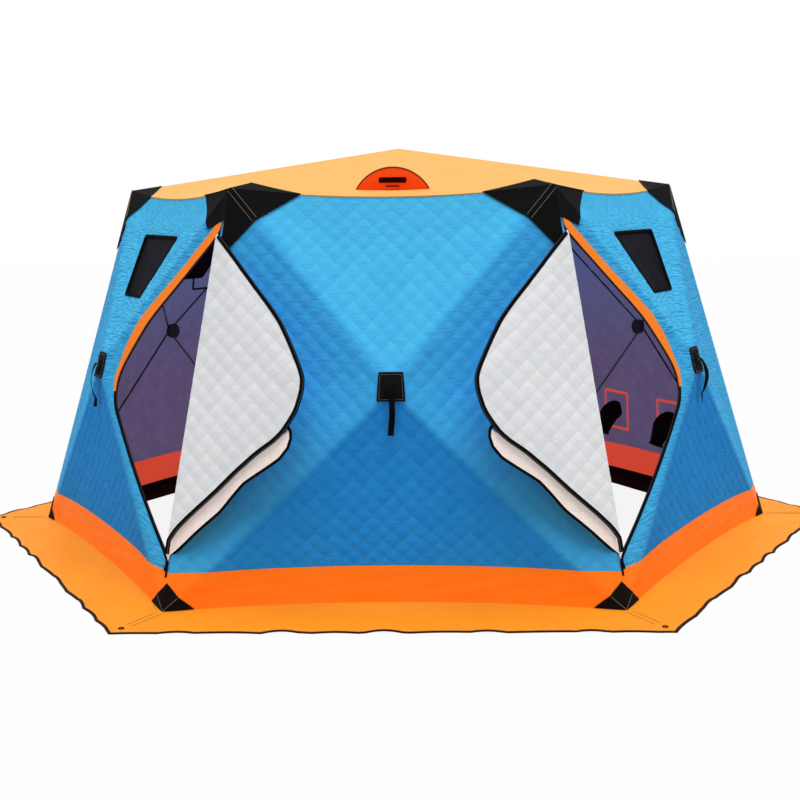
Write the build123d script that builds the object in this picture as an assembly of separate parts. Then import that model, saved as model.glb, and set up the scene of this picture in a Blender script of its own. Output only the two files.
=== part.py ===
from build123d import *
from math import cos, radians, sin
import os

# Six-sided pop-up ice fishing hut of quilted fabric over a sprung pole frame.
# Millimetres. The origin is on the ground at the centre of the floor plan, +Z is up and the front
# wall faces -Y. A generic wall or corner faces +X and is turned about Z to its place.

# Form of the outside of the fabric
base_radius = 2080
top_radius = 1505
wall_height = 1886
hub_radius = 1754
hub_height = 1011
peak_height = 2103
seam_sag = 45
foot_rise = 42

# Fabric
wall_thickness = 10
patch_thickness = 3
form_centre_height = 900
seam_gap = 0.3

# Foot band, snow skirt and inner ground flap
band_height = 168
skirt_width = 343
skirt_radius = base_radius + skirt_width
skirt_lean_share = 0.3
skirt_thickness = 6
ground_flap_width = 205
ground_flap_lean_share = 0.3
ground_flap_thickness = 4

# Corner and hub reinforcement patches
top_patch_seam_run = 330
top_patch_rib_run = 208
top_patch_edge_run = 340
top_patch_door_edge_run = 152
top_patch_guard_up = 1785
top_patch_guard_out = 130
top_patch_roof_run = 170
foot_patch_seam_run = 139
foot_patch_rib_run = 104
foot_patch_edge_run = 136
foot_patch_stand_off = 12
hub_patch_reach = 88

# Doors, in the plane of their facet: up along the corner edge, and out from it
door_foot = 225
door_head = 1790
door_edge = 26
door_tip_up = 1020
door_tip_out = 765
door_tip_radius = 205
door_upper_bulge = 58
door_lower_bulge = 25
door_gap = 5.5
door_binding_width = 22
door_binding_cover = 1.5
hinge_bead_radius = 7.7
hinge_bead_margin = 30
hinge_web_lap = 4
door_rest_angle = 190
rain_guard_head = 1812
rain_guard_end_up = 1060
rain_guard_end_out = 745
rain_guard_bulge = 112
rain_guard_thickness = 3
snow_guard_width = 78
snow_guard_head = 872
snow_guard_foot_out = 84
snow_guard_thickness = 3
snow_guard_stand_off = 6.5

# Windows in the upper facets
window_drop = 217
window_depth = 334
window_head_width = 503
window_sill_width = 241
window_pane_thickness = 3

# Vent hood on the front of the roof
hood_width = 350
hood_height = 105
hood_back_width = 180
hood_back_height = 25
hood_depth = 280
hood_wall = 4
hood_set_back = 170
hood_slot_width = 130
hood_slot_height = 25
hood_slot_up = 32
hood_arch_runs = 14

# Pole frame
pole_radius = 5.5
pole_end_gap = 60
hub_body_radius = 45
hub_nose_radius = 28
hub_body_length = 30
hub_socket_depth = 20
hub_socket_clearance = 0.2
roof_hub_body_radius = 60

# Pull straps on the outside of the wall hubs
strap_width = 27
strap_length = 224
strap_thickness = 4
strap_overlap = 15

# Sleeve vents on the right back wall
vent_spread = 270
vent_height = 440
vent_patch_size = 260
vent_sleeve_radius = 62
vent_sleeve_end_radius = 40
vent_sleeve_wall = 4
vent_neck_length = 6
vent_bend_radius = 66
vent_bend_angle = 62
vent_sleeve_length = 120
vent_sleeve_sides = 16
vent_bend_steps = 3

walls = {
    "front": 270,
    "left_front": 210,
    "left_back": 150,
    "back": 90,
    "right_back": 30,
    "right_front": 330,
}
corners = (240, 180, 120, 60, 0, 300)
half_turn = 30
form_centre = Vector(0, 0, form_centre_height)


def polar(radius, angle, height):
    """A point at a plan radius, a plan angle and a height."""
    return Vector(radius * cos(radians(angle)), radius * sin(radians(angle)), height)


def between(start, end, share):
    """The point a share of the way from one point to another."""
    return start + (end - start) * share


def along(start, end, distance):
    """The point a distance from one point towards another."""
    return start + (end - start).normalized() * distance


def lifted(point, height):
    """The same point on a layer that lies higher, or lower, than the outer face of the walls."""
    reach = base_radius * cos(radians(half_turn))
    return form_centre + (point - form_centre) * (1 + height / reach)


def turned(point, angle):
    """A point of the generic wall, turned about the upright axis of the hut."""
    return point.rotate(Axis.Z, angle)


def facet_normal(a, b, c):
    return (b - a).cross(c - a).normalized()


def flat_face(points):
    return Face(Wire.make_polygon(points, close=True))


def sheet(outer, inner, triangles):
    """A closed sheet between matching points on its two sides, from outward-facing triangles."""
    faces = [flat_face([outer[i] for i in triangle]) for triangle in triangles]
    faces += [flat_face([inner[i] for i in reversed(triangle)]) for triangle in triangles]
    sides = {(t[i], t[(i + 1) % 3]) for t in triangles for i in range(3)}
    for start, end in sorted(sides):
        if (end, start) not in sides:
            faces.append(flat_face([outer[end], outer[start], inner[start], inner[end]]))
    return Solid(Shell(faces))


def edge_shares(side, end_run):
    """Shares of an edge, from -1 to 1, that include the ends of its two corner patches."""
    patch = 1 - 2 * end_run / side
    return [-1, -patch, -patch / 2, 0, patch / 2, patch, 1]


# Points of the generic wall: its hub, its four corners and the rows along its head and foot
hub = Vector(hub_radius, 0, hub_height)
head_left = polar(top_radius, -half_turn, wall_height)
head_right = polar(top_radius, half_turn, wall_height)
foot_left = polar(base_radius, -half_turn, 0)
foot_right = polar(base_radius, half_turn, 0)
peak = Vector(0, 0, peak_height)


def seam_point(share):
    """A point of the top seam, which sags between its corners."""
    sag = Vector(0, 0, seam_sag * (1 - share**2))
    return between(head_left, head_right, (1 + share) / 2) - sag


def foot_point(share):
    """A point of the foot of the wall, which is drawn up between its corners."""
    rise = Vector(0, 0, foot_rise * (1 - share**2))
    return between(foot_left, foot_right, (1 + share) / 2) + rise


seam_shares = edge_shares(top_radius, top_patch_seam_run)
foot_shares = edge_shares(base_radius, foot_patch_seam_run)
seam = [seam_point(share) for share in seam_shares]
foot = [foot_point(share) for share in foot_shares]
steps = len(seam) - 1


def wall_layer(high, low):
    """A layer of the generic wall: a fan above and below its hub and a facet on each side."""
    points = [hub] + seam + foot
    row = len(seam)
    triangles = [(0, i + 2, i + 1) for i in range(steps)]
    triangles += [(0, row + i + 1, row + i + 2) for i in range(steps)]
    triangles += [(0, 2 * row, row), (0, 1, row + 1)]
    outer = [lifted(point, high) for point in points]
    inner = [lifted(point, low) for point in points]
    return sheet(outer, inner, triangles)


def below_band_seam():
    """The space under the seam between the foot band and the quilted wall."""
    reach = skirt_radius
    low = -wall_thickness
    left = (-base_radius / 2, band_height)
    right = (base_radius / 2, band_height)
    with BuildSketch(Plane.YZ) as profile:
        with BuildLine():
            ThreePointArc(left, (0, band_height + foot_rise), right)
            Polyline(right, (reach, band_height), (reach, low), (-reach, low),
                     (-reach, band_height), left)
        make_face()
    return extrude(profile.sketch, reach, dir=(1, 0, 0))


def corner_facet_plane():
    """The plane of the right-hand facet: x up its corner edge and y from that edge to the hub."""
    up = (head_right - foot_right).normalized()
    outward = facet_normal(hub, foot_right, head_right)
    return Plane(origin=foot_right, x_dir=up, z_dir=outward)


door_plane = corner_facet_plane()


def bulging_side(start, end, bulge, grow):
    """A large disc whose rim bulges out from the line between two points of the door's facet."""
    chord = Vector(*end) - Vector(*start)
    half = chord.length / 2
    radius = (half**2 + bulge**2) / (2 * bulge)
    inward = Vector(chord.Y, -chord.X).normalized()
    centre = between(Vector(*start), Vector(*end), 0.5) + inward * (radius - bulge)
    return Pos(centre) * Circle(radius + grow)


def door_outline(shrink=0):
    """The leaf shape of the door opening, with its straight side along the corner edge."""
    head = (door_head, door_edge)
    heel = (door_foot, door_edge)
    tip = (door_tip_up, door_tip_out)
    lower = bulging_side(heel, tip, door_lower_bulge, -shrink)
    upper = bulging_side(tip, head, door_upper_bulge, -shrink)
    leaf = lower & upper & away_from_hinge(door_edge + shrink)
    return fillet(leaf.vertices().sort_by(Axis.Y)[-1], door_tip_radius - shrink)


def flap_outline(shrink=0):
    """The outline of the door flap and its binding, clear of the bound edge of the opening."""
    return door_outline(door_binding_cover + door_gap + shrink)


def on_door(face, low, high):
    """A flat shape of the door's facet, solid between two heights over the wall's outer face."""
    return extrude(door_plane.offset(low) * face, high - low, dir=door_plane.z_dir)


def away_from_hinge(distance, up_to=2 * base_radius):
    """The part of the door's facet that is this far from the corner edge, up to a height."""
    return Pos(up_to / 2, distance + base_radius / 2) * Rectangle(up_to, base_radius)


def wrapped_edge(outer, inner, solid):
    """Tape that wraps the edge of a flat piece of wall thickness and covers both its faces."""
    ring = (outer - inner) & away_from_hinge(door_edge + hinge_bead_radius + door_gap)
    return on_door(ring, -wall_thickness - door_binding_cover, door_binding_cover) - solid


def door_edge_binding(wall):
    """Zip tape round the curved edge of the opening."""
    wide = door_outline(door_binding_cover - door_binding_width)
    return wrapped_edge(wide, door_outline(door_binding_cover), wall)


def rain_guard():
    """The crescent of fabric on the wall that folds down over the upper zip."""
    head = (rain_guard_head, door_edge)
    end = (rain_guard_end_up, rain_guard_end_out)
    edge = door_outline(door_binding_cover - door_binding_width)
    upper_part = Pos(rain_guard_end_up + base_radius / 2, 0) * Rectangle(base_radius, base_radius)
    crescent = (bulging_side(end, head, rain_guard_bulge, 0) & upper_part) - edge
    shape = crescent & away_from_hinge(door_edge + hinge_bead_radius + door_gap)
    return on_door(shape, 0, rain_guard_thickness)


def hinge_axis():
    """The line that the door flap turns about, over the straight edge of the opening."""
    point = door_plane.from_local_coords(Vector(0, door_edge, hinge_bead_radius + seam_gap))
    return Axis(point, door_plane.x_dir)


def door_flap():
    """The quilted flap with the rolled bead that it hangs by."""
    outline = flap_outline(door_binding_cover)
    box = outline.bounding_box()
    foot_end = box.min.X + hinge_bead_margin
    head_end = box.max.X - hinge_bead_margin
    bead_height = hinge_bead_radius + seam_gap
    web_start = door_edge + door_gap
    web_end = box.min.Y + hinge_web_lap
    web_middle = ((web_start + web_end) / 2, (bead_height - door_binding_cover) / 2)
    bead = Pos(door_edge, bead_height) * Circle(hinge_bead_radius)
    web = Pos(web_middle) * Rectangle(web_end - web_start, bead_height + door_binding_cover)
    section = Plane(origin=door_plane.from_local_coords(Vector(foot_end, 0, 0)),
                    x_dir=door_plane.y_dir, z_dir=door_plane.x_dir)
    rolled = extrude(section * (bead + web), head_end - foot_end, dir=door_plane.x_dir)
    return on_door(outline, -wall_thickness, 0) + rolled


def flap_binding(flap):
    """Zip tape round the curved edge of the flap."""
    return wrapped_edge(flap_outline(), flap_outline(door_binding_width), flap)


def snow_guard():
    """The strip over the lower zip: sewn to the flap's binding, with its lip clear of the wall."""
    lower_part = away_from_hinge(snow_guard_foot_out, snow_guard_head)
    inner = flap_outline(door_binding_width)
    lip = (flap_outline(-snow_guard_width) - inner) & lower_part
    root = (flap_outline() - inner) & lower_part
    lip_top = snow_guard_stand_off + snow_guard_thickness
    return on_door(lip, snow_guard_stand_off, lip_top) + on_door(
        root, door_binding_cover, snow_guard_stand_off
    )


def window_plane():
    """The plane of the upper facet: x to the right as seen from outside, y up the facet."""
    right = Vector(0, 1, 0)
    up = (seam_point(0) - hub).normalized()
    return Plane(origin=seam_point(0), x_dir=right, z_dir=right.cross(up))


def window_outline(shrink=0):
    """The trapezium of a window, with its sides along the ribs."""
    head = -window_drop + shrink * -1
    sill = -window_drop - window_depth + shrink
    half_head = window_head_width / 2 - shrink
    half_sill = window_sill_width / 2 - shrink
    return make_face(Polyline((-half_head, head), (half_head, head), (half_sill, sill),
                              (-half_sill, sill), close=True))


def on_window(face, low, high):
    plane = window_plane()
    return extrude(plane.offset(low) * face, high - low, dir=plane.z_dir)


def window_opening():
    return on_window(window_outline(), -6 * wall_thickness, 6 * wall_thickness)


def window_pane():
    """The dark window sheet, set in the thickness of the wall."""
    middle = -wall_thickness / 2
    half = window_pane_thickness / 2
    return on_window(window_outline(seam_gap), middle - half, middle + half)


def roof_panel():
    """One sixth of the roof, from the peak to the sagging top seam of its wall."""
    points = [peak] + seam
    triangles = [(0, i + 1, i + 2) for i in range(steps)]
    inner = [lifted(point, -wall_thickness) for point in points]
    return sheet(points, inner, triangles)


def ground_sheet(rows, thickness):
    """A sheet through rows of points, which run from its outer hem inwards."""
    count = len(rows[0])
    low = [point for row in rows for point in row]
    high = [point + Vector(0, 0, thickness) for point in low]
    triangles = []
    for start in range(0, count * (len(rows) - 1), count):
        for i in range(start, start + count - 1):
            triangles.append((i, i + 1, i + count + 1))
            triangles.append((i, i + count + 1, i + count))
    return sheet(high, low, triangles).clean()


def hem_row(radius):
    """Points along a straight hem on the ground, between two corners at this radius."""
    left = polar(radius, -half_turn, 0)
    right = polar(radius, half_turn, 0)
    return [between(left, right, (1 + share) / 2) for share in foot_shares]


def skirt_panel():
    """The snow skirt of one side: flat on the ground, then up to the foot of the wall."""
    fold_radius = base_radius + skirt_lean_share * (skirt_radius - base_radius)
    return ground_sheet([hem_row(skirt_radius), hem_row(fold_radius), foot], skirt_thickness)


def ground_flap():
    """The inner flap of one side, from just inside the foot of the wall to its hem on the ground."""
    outer = base_radius - (wall_thickness + seam_gap) / cos(radians(half_turn))
    inner = outer - ground_flap_width / cos(radians(half_turn))
    fold = outer - ground_flap_lean_share * (outer - inner)
    top = [point + Vector(0, 0, foot_point(share).Z) for point, share in zip(hem_row(outer), foot_shares)]
    return ground_sheet([top, hem_row(fold), hem_row(inner)], ground_flap_thickness)


def top_patch():
    """The patch over the top corner that faces +X."""
    head = polar(top_radius, 0, wall_height)
    base = polar(base_radius, 0, 0)
    points = [
        head,
        along(head, peak, top_patch_roof_run),
        turned(seam[-2], -half_turn),
        along(head, turned(hub, -half_turn), top_patch_rib_run),
        along(head, base, top_patch_edge_run),
        along(head, turned(hub, half_turn), top_patch_rib_run),
        turned(seam[1], half_turn),
    ]
    triangles = [(0, 1, 2), (0, 2, 3), (0, 3, 4), (0, 4, 5), (0, 5, 6), (0, 6, 1)]
    outer = [lifted(point, patch_thickness) for point in points]
    return sheet(outer, points, triangles)


def door_corner_patch():
    """The patch over the top corner that faces +X, cut back on the side of the left-hand door."""
    head = polar(top_radius, 0, wall_height)
    base = polar(base_radius, 0, 0)
    beside_guard = door_plane.from_local_coords(Vector(top_patch_guard_up, top_patch_guard_out, 0))
    points = [
        head,
        along(head, peak, top_patch_roof_run),
        turned(seam[-2], -half_turn),
        along(head, turned(hub, -half_turn), top_patch_rib_run),
        turned(beside_guard, -half_turn),
        along(head, base, top_patch_door_edge_run),
        along(head, base, top_patch_edge_run),
        along(head, turned(hub, half_turn), top_patch_rib_run),
        turned(seam[1], half_turn),
    ]
    triangles = [(0, 1, 2), (0, 2, 3), (0, 3, 4), (0, 4, 5), (0, 5, 7), (5, 6, 7), (0, 7, 8), (0, 8, 1)]
    outer = [lifted(point, patch_thickness) for point in points]
    return sheet(outer, points, triangles)


def foot_patch():
    """The patch over the foot corner that faces +X, just above the snow skirt."""
    base = polar(base_radius, 0, 0)
    head = polar(top_radius, 0, wall_height)
    hub_before = turned(hub, -half_turn)
    hub_after = turned(hub, half_turn)
    points = [
        along(base, head, foot_patch_stand_off),
        along(base, head, foot_patch_edge_run),
        along(base, hub_before, foot_patch_rib_run),
        along(turned(foot[-2], -half_turn), hub_before, foot_patch_stand_off),
        along(base, hub_before, foot_patch_stand_off),
        along(base, hub_after, foot_patch_stand_off),
        along(turned(foot[1], half_turn), hub_after, foot_patch_stand_off),
        along(base, hub_after, foot_patch_rib_run),
    ]
    triangles = [(0, 1, 2), (0, 2, 4), (4, 2, 3), (0, 5, 7), (0, 7, 1), (5, 6, 7)]
    return sheet([lifted(point, patch_thickness) for point in points], points, triangles)


def hub_patch():
    """The square patch on the outside of a wall hub, with a corner on each rib."""
    reach = [along(hub, corner, hub_patch_reach) for corner in (head_right, head_left, foot_left, foot_right)]
    points = [hub] + reach
    triangles = [(0, 1, 2), (0, 2, 3), (0, 3, 4), (0, 4, 1)]
    inner = [lifted(point, seam_gap) for point in points]
    outer = [lifted(point, seam_gap + patch_thickness) for point in points]
    return sheet(outer, inner, triangles)


def pull_strap():
    """The webbing strap that hangs from the hub patch down the lower facet."""
    down = (foot_point(0) - hub).normalized()
    out = Vector(0, 1, 0).cross(down) * -1
    stand_off = 2 * seam_gap + patch_thickness
    centre = hub + down * (strap_length / 2 - strap_overlap) + out * (stand_off + strap_thickness / 2)
    plane = Plane(origin=centre, x_dir=Vector(0, 1, 0), z_dir=out)
    return plane * Box(strap_width, strap_length, strap_thickness)


def rib_pole(start, end, normal_a, normal_b, first, last, radius=pole_radius):
    """A pole that lies against the two facets that meet along a rib, on the inside."""
    inward = (normal_a + normal_b).normalized() * -1
    depth = (pole_radius + seam_gap) / -inward.dot(normal_a)
    low = lifted(start, -wall_thickness) + inward * depth
    high = lifted(end, -wall_thickness) + inward * depth
    axis = (high - low).normalized()
    length = (high - low).length - first - last
    plane = Plane(origin=low + axis * first, z_dir=axis)
    return extrude(plane * Circle(radius), length)


def wall_poles(radius=pole_radius):
    """The four poles of the generic wall, from its hub to its corners."""
    above = facet_normal(hub, seam[-1], seam[-2])
    beside = facet_normal(hub, foot_right, head_right)
    below = facet_normal(hub, foot[-2], foot[-1])
    first = hub_body_radius - hub_socket_depth
    upper = rib_pole(hub, head_right, above, beside, first, pole_end_gap, radius)
    lower = rib_pole(hub, foot_right, below, beside, first, pole_end_gap, radius)
    return [upper, lower, mirror(upper, Plane.XZ), mirror(lower, Plane.XZ)]


def hub_profile(slope, radius):
    """Half section of a hub: a nose that fits the fabric, and a round body."""
    nose = hub_nose_radius * slope + seam_gap
    shoulder = radius * slope + seam_gap
    return [(0, nose), (hub_nose_radius, nose), (radius, shoulder),
            (radius, shoulder + hub_body_length), (0, shoulder + hub_body_length)]


def wall_hub():
    """The moulded hub inside the generic wall, with a socket for each pole."""
    top = seam_point(0)
    slope = (hub.X - top.X) / (top.Z - hub.Z)
    profile = make_face(Polyline(*hub_profile(slope, hub_body_radius), close=True))
    apex = lifted(hub, -wall_thickness)
    plane = Plane(origin=apex, x_dir=(0, 1, 0), z_dir=(0, 0, 1))
    body = revolve(plane * profile, Axis(apex, (1, 0, 0)))
    for pole in wall_poles(pole_radius + hub_socket_clearance):
        body -= pole
    return body


def roof_pole(radius=pole_radius):
    """The roof pole under the rib that runs from the peak to the corner on the +X side."""
    head = polar(top_radius, 0, wall_height)
    before = turned(seam[-2], -half_turn)
    after = turned(seam[1], half_turn)
    first = roof_hub_body_radius - hub_socket_depth
    return rib_pole(peak, head, facet_normal(peak, before, head), facet_normal(peak, head, after),
                    first, pole_end_gap, radius)


def roof_hub():
    """The moulded hub under the peak, with six sockets."""
    top = seam_point(0)
    slope = (peak.Z - top.Z) / top.X
    profile = make_face(Polyline(*hub_profile(slope, roof_hub_body_radius), close=True))
    apex = lifted(peak, -wall_thickness)
    plane = Plane(origin=apex, x_dir=(1, 0, 0), z_dir=(0, 1, 0))
    body = revolve(plane * profile, Axis(apex, (0, 0, 1)))
    for corner in corners:
        body -= roof_pole(pole_radius + hub_socket_clearance).rotate(Axis.Z, corner)
    return body


def half_round(width, height, skirt, shrink=0):
    """An upright face with an arched top of short runs, and a skirt below its springing line."""
    half = width / 2 - shrink
    arch = ThreePointArc((-half, 0), (0, height - shrink), (half, 0))
    runs = [arch @ (step / hood_arch_runs) for step in range(hood_arch_runs + 1)]
    return make_face(Polyline(*runs, (half, -skirt), (-half, -skirt), close=True))


def vent_hood():
    """The half-round hood on the front roof panel, with a slot in its face."""
    top = seam_point(0)
    slope = (peak.Z - top.Z) / top.X
    front_x = top.X - hood_set_back
    back_x = front_x - hood_depth
    front_z = peak.Z - slope * front_x
    back_z = peak.Z - slope * back_x
    skirt = hood_back_height

    def bag(shrink):
        front = Plane(origin=(front_x - shrink, 0, front_z), x_dir=(0, 1, 0), z_dir=(1, 0, 0))
        back = Plane(origin=(back_x + shrink, 0, back_z), x_dir=(0, 1, 0), z_dir=(1, 0, 0))
        return loft([
            back * half_round(hood_back_width, hood_back_height, skirt, shrink),
            front * half_round(hood_width, hood_height, skirt, shrink),
        ], ruled=True)

    slot = Pos(front_x, 0, front_z + hood_slot_up + hood_slot_height / 2) * Box(
        4 * hood_wall, hood_slot_width, hood_slot_height
    )
    points = [lifted(point, seam_gap) for point in [peak] + seam]
    under = [point - Vector(0, 0, 4 * hood_height) for point in points]
    triangles = [(0, i + 1, i + 2) for i in range(steps)]
    below_roof = sheet(points, under, triangles)
    return bag(0) - bag(hood_wall) - slot - below_roof


def vent_root(side):
    """The plane of the lining where a sleeve vent starts, facing into the hut."""
    middle = between(foot[steps // 2 - 1], foot[steps // 2 + 1], 0.5)
    centre = between(hub, middle, (hub.Z - vent_height) / (hub.Z - middle.Z))
    centre += Vector(0, side * vent_spread, 0)
    outward = facet_normal(hub, foot[steps // 2 - 1], foot[steps // 2 + 1])
    return Plane(origin=lifted(centre, -wall_thickness - seam_gap), x_dir=(0, 1, 0), z_dir=outward * -1)


def vent_patch(side):
    """The square patch on the inside of the lower facet, round a sleeve vent."""
    root = vent_root(side)
    square = root * Box(vent_patch_size, vent_patch_size, 8 * patch_thickness)
    hole = root * Cylinder(vent_sleeve_radius + seam_gap, 8 * patch_thickness)
    layer = wall_layer(-wall_thickness, -wall_thickness - patch_thickness)
    return (layer & square) - hole


def vent_sleeve(side):
    """The fabric sleeve of a vent: a neck through its patch, a bend and a tapered end."""
    root = vent_root(side)
    neck = root.offset(vent_neck_length)
    bend_axis = Axis(neck.origin + neck.y_dir * vent_bend_radius, neck.x_dir * -1)

    def tube(shrink, overrun):
        wide = RegularPolygon(vent_sleeve_radius - shrink, vent_sleeve_sides)
        narrow = RegularPolygon(vent_sleeve_end_radius - shrink, vent_sleeve_sides)
        rings = [root.offset(-overrun) * wide]
        for step in range(vent_bend_steps + 1):
            rings.append((neck * wide).rotate(bend_axis, vent_bend_angle * step / vent_bend_steps))
        rings.append((neck.offset(vent_sleeve_length + overrun) * narrow).rotate(bend_axis, vent_bend_angle))
        return loft(rings, ruled=True)

    return tube(0, 0) - tube(vent_sleeve_wall, 1)


def placed(shape, angle):
    return shape.rotate(Axis.Z, angle)


def save(name, shapes):
    """Writes one named sub-part from its separate solids."""
    solids = [solid for shape in shapes for solid in shape.solids()]
    export_step(Compound(children=solids) if len(solids) > 1 else solids[0], f"parts/{name}.step")


def main():
    os.makedirs("parts", exist_ok=True)
    wall = wall_layer(0, -wall_thickness)
    region = below_band_seam()
    band = wall & region
    quilted = wall - region
    with_window = quilted - window_opening()
    left_door_wall = with_window - on_door(door_outline(), -8 * wall_thickness, 4 * wall_thickness)
    wall_shapes = {
        "front": quilted,
        "left_front": left_door_wall,
        "left_back": with_window,
        "back": quilted,
        "right_back": with_window,
        "right_front": mirror(left_door_wall, Plane.XZ),
    }
    skirt = skirt_panel()
    roof = roof_panel()
    for name, angle in walls.items():
        save(f"{name}_wall", [placed(wall_shapes[name], angle)])
        save(f"{name}_foot_band", [placed(band, angle)])
        save(f"{name}_skirt", [placed(skirt, angle)])
        save(f"{name}_roof_panel", [placed(roof, angle)])

    flap_parts = {
        "door_binding": door_edge_binding(left_door_wall),
        "rain_guard": rain_guard(),
    }
    flap = door_flap()
    turning_parts = {
        "door_flap": flap,
        "flap_binding": flap_binding(flap),
        "snow_guard": snow_guard(),
    }
    for name, shape in turning_parts.items():
        turning_parts[name] = shape.rotate(hinge_axis(), door_rest_angle)
    for name, shape in {**flap_parts, **turning_parts}.items():
        save(f"left_{name}", [placed(shape, walls["left_front"])])
        save(f"right_{name}", [placed(mirror(shape, Plane.XZ), walls["right_front"])])

    angles = list(walls.values())
    window_angles = [walls[name] for name in ("left_front", "right_front", "left_back", "right_back")]
    save("window_panes", [placed(window_pane(), angle) for angle in window_angles])
    left_door_corner, right_door_corner = corners[0], corners[-1]
    door_patch = door_corner_patch()
    patches = [placed(top_patch(), angle) for angle in corners[1:-1]]
    patches += [placed(door_patch, left_door_corner),
                placed(mirror(door_patch, Plane.XZ), right_door_corner)]
    save("top_corner_patches", patches)
    save("foot_corner_patches", [placed(foot_patch(), angle) for angle in corners])
    save("hub_patches", [placed(hub_patch(), angle) for angle in angles])
    save("pull_straps", [placed(pull_strap(), angle) for angle in angles])
    poles = [placed(pole, angle) for angle in angles for pole in wall_poles()]
    save("wall_poles", poles)
    save("wall_hubs", [placed(wall_hub(), angle) for angle in angles])
    save("roof_poles", [placed(roof_pole(), angle) for angle in corners])
    save("roof_hub", [roof_hub()])
    save("vent_hood", [placed(vent_hood(), walls["front"])])
    save("vent_patches", [placed(vent_patch(side), walls["right_back"]) for side in (-1, 1)])
    save("vent_sleeves", [placed(vent_sleeve(side), walls["right_back"]) for side in (-1, 1)])
    save("ground_flap", [placed(ground_flap(), angle) for angle in angles])


main()
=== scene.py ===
import bpy
import bmesh
import numpy as np
from math import atan2, cos, hypot, pi, radians, sin, sqrt
from mathutils import Matrix, Vector


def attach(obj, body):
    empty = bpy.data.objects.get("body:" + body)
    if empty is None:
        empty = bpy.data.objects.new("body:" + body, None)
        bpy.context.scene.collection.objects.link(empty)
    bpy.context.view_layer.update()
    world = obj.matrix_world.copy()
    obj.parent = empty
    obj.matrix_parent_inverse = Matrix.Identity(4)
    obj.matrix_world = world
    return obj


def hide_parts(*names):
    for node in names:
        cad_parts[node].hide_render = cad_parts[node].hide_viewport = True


# A six-sided pop-up ice fishing hut of quilted fabric. Metres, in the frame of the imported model.
# A generic wall or corner faces +X, is laid out flat in Y and Z, and is turned about Z to its place.
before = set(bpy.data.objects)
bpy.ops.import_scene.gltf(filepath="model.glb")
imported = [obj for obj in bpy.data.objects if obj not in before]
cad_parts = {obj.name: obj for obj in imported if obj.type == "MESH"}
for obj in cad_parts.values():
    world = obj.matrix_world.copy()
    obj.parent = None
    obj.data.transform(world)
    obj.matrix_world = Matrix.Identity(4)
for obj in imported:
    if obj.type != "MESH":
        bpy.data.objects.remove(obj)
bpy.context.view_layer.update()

# Form of the outside of the fabric
base_radius = 2.080
top_radius = 1.505
wall_height = 1.886
hub_radius = 1.754
hub_height = 1.011
peak_height = 2.103
seam_sag = 0.045
foot_rise = 0.042
form_centre = Vector((0, 0, 0.900))
half_turn = radians(30)
apothem = base_radius * cos(half_turn)
wall_thickness = 0.010
band_height = 0.168
skirt_radius = 2.423
skirt_lean_share = 0.3

# Quilting
quilt_cell = 0.061
quilt_steps = 4
quilt_puff = 0.0025
lining_puff = 0.0020
facet_pull = 0.014
facet_pull_run = 0.22
rib_softness = 0.016
quilt_roundness = 0.55
quilt_sink = 0.4
quilt_rim_run = 0.022
stitch_length = 0.0034
stitch_share = 0.62
stitch_reach = 0.011
line_reach = 0.038
# How strongly the stitched lines take their painted line colour
line_strength = 0.52
puff_roundness = 0.42
weave_depth_in_quilt = 0.00006
thread_depth = 0.0004

# Crinkled cloth: its folds, where it is drawn taut under the head seam, and how flat its quilting lies
fold_height = 0.0026
fold_run = 0.06
taut_head_drop = 0.09
taut_head_run = 0.07
crinkle_rib_run = 0.20
crinkle_flattening = 0.55
crinkle_stretch = 5.0
crinkle_scale = 7.5

# Threads and zip teeth
thread_width = 0.0017
thread_half_height = 0.0006
thread_dip = 0.0016
tooth_half_width = 0.0032
tooth_half_height = 0.0022
tooth_gap_share = 0.35

# Reinforcement patches and straps
top_patch_seam_run = 0.330
top_patch_rib_run = 0.208
top_patch_edge_run = 0.340
top_patch_door_edge_run = 0.152
top_patch_guard_up = 1.785
top_patch_guard_out = 0.130
top_patch_roof_run = 0.170
foot_patch_seam_run = 0.139
foot_patch_rib_run = 0.104
foot_patch_edge_run = 0.136
foot_patch_stand_off = 0.012
hub_patch_reach = 0.088
strap_width = 0.027
strap_length = 0.224

# Vent hood and sleeve vents
hood_width = 0.350
hood_height = 0.105
hood_back_width = 0.180
hood_back_height = 0.025
hood_depth = 0.280
hood_set_back = 0.170
hood_slot_width = 0.130
hood_slot_height = 0.025
hood_slot_up = 0.032
vent_spread = 0.270
vent_height = 0.440
vent_patch_size = 0.260
ground_flap_width = 0.205

# Doors, in the plane of their facet: up along the corner edge, and out from it
door_foot = 0.225
door_head = 1.790
door_edge = 0.026
door_tip_up = 1.020
door_tip_out = 0.765
door_tip_radius = 0.205
door_upper_bulge = 0.058
door_lower_bulge = 0.025
hinge_bead_radius = 0.0077
seam_gap = 0.0003
door_rest_angle = radians(190)
flap_cuts = ((0.225, 0.020), (0.300, 0.070), (0.375, 0.094), (0.470, 0.086), (0.560, 0.073), (0.660, 0.064),
             (0.750, 0.042), (0.820, 0.006), (0.860, 0.002), (0.920, 0.012), (1.000, 0.014), (1.100, 0.0))
head_cuts = ((1.350, 0.0), (1.420, 0.014), (1.500, 0.032), (1.580, 0.040), (1.660, 0.038), (1.740, 0.030),
             (1.790, 0.008))
rain_guard_edge = ((1.000, 0.724), (1.077, 0.738), (1.148, 0.714), (1.219, 0.684), (1.285, 0.647),
                   (1.370, 0.584), (1.453, 0.484), (1.505, 0.420), (1.557, 0.352), (1.612, 0.285),
                   (1.672, 0.217), (1.732, 0.148), (1.786, 0.086), (1.828, 0.045))
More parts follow.
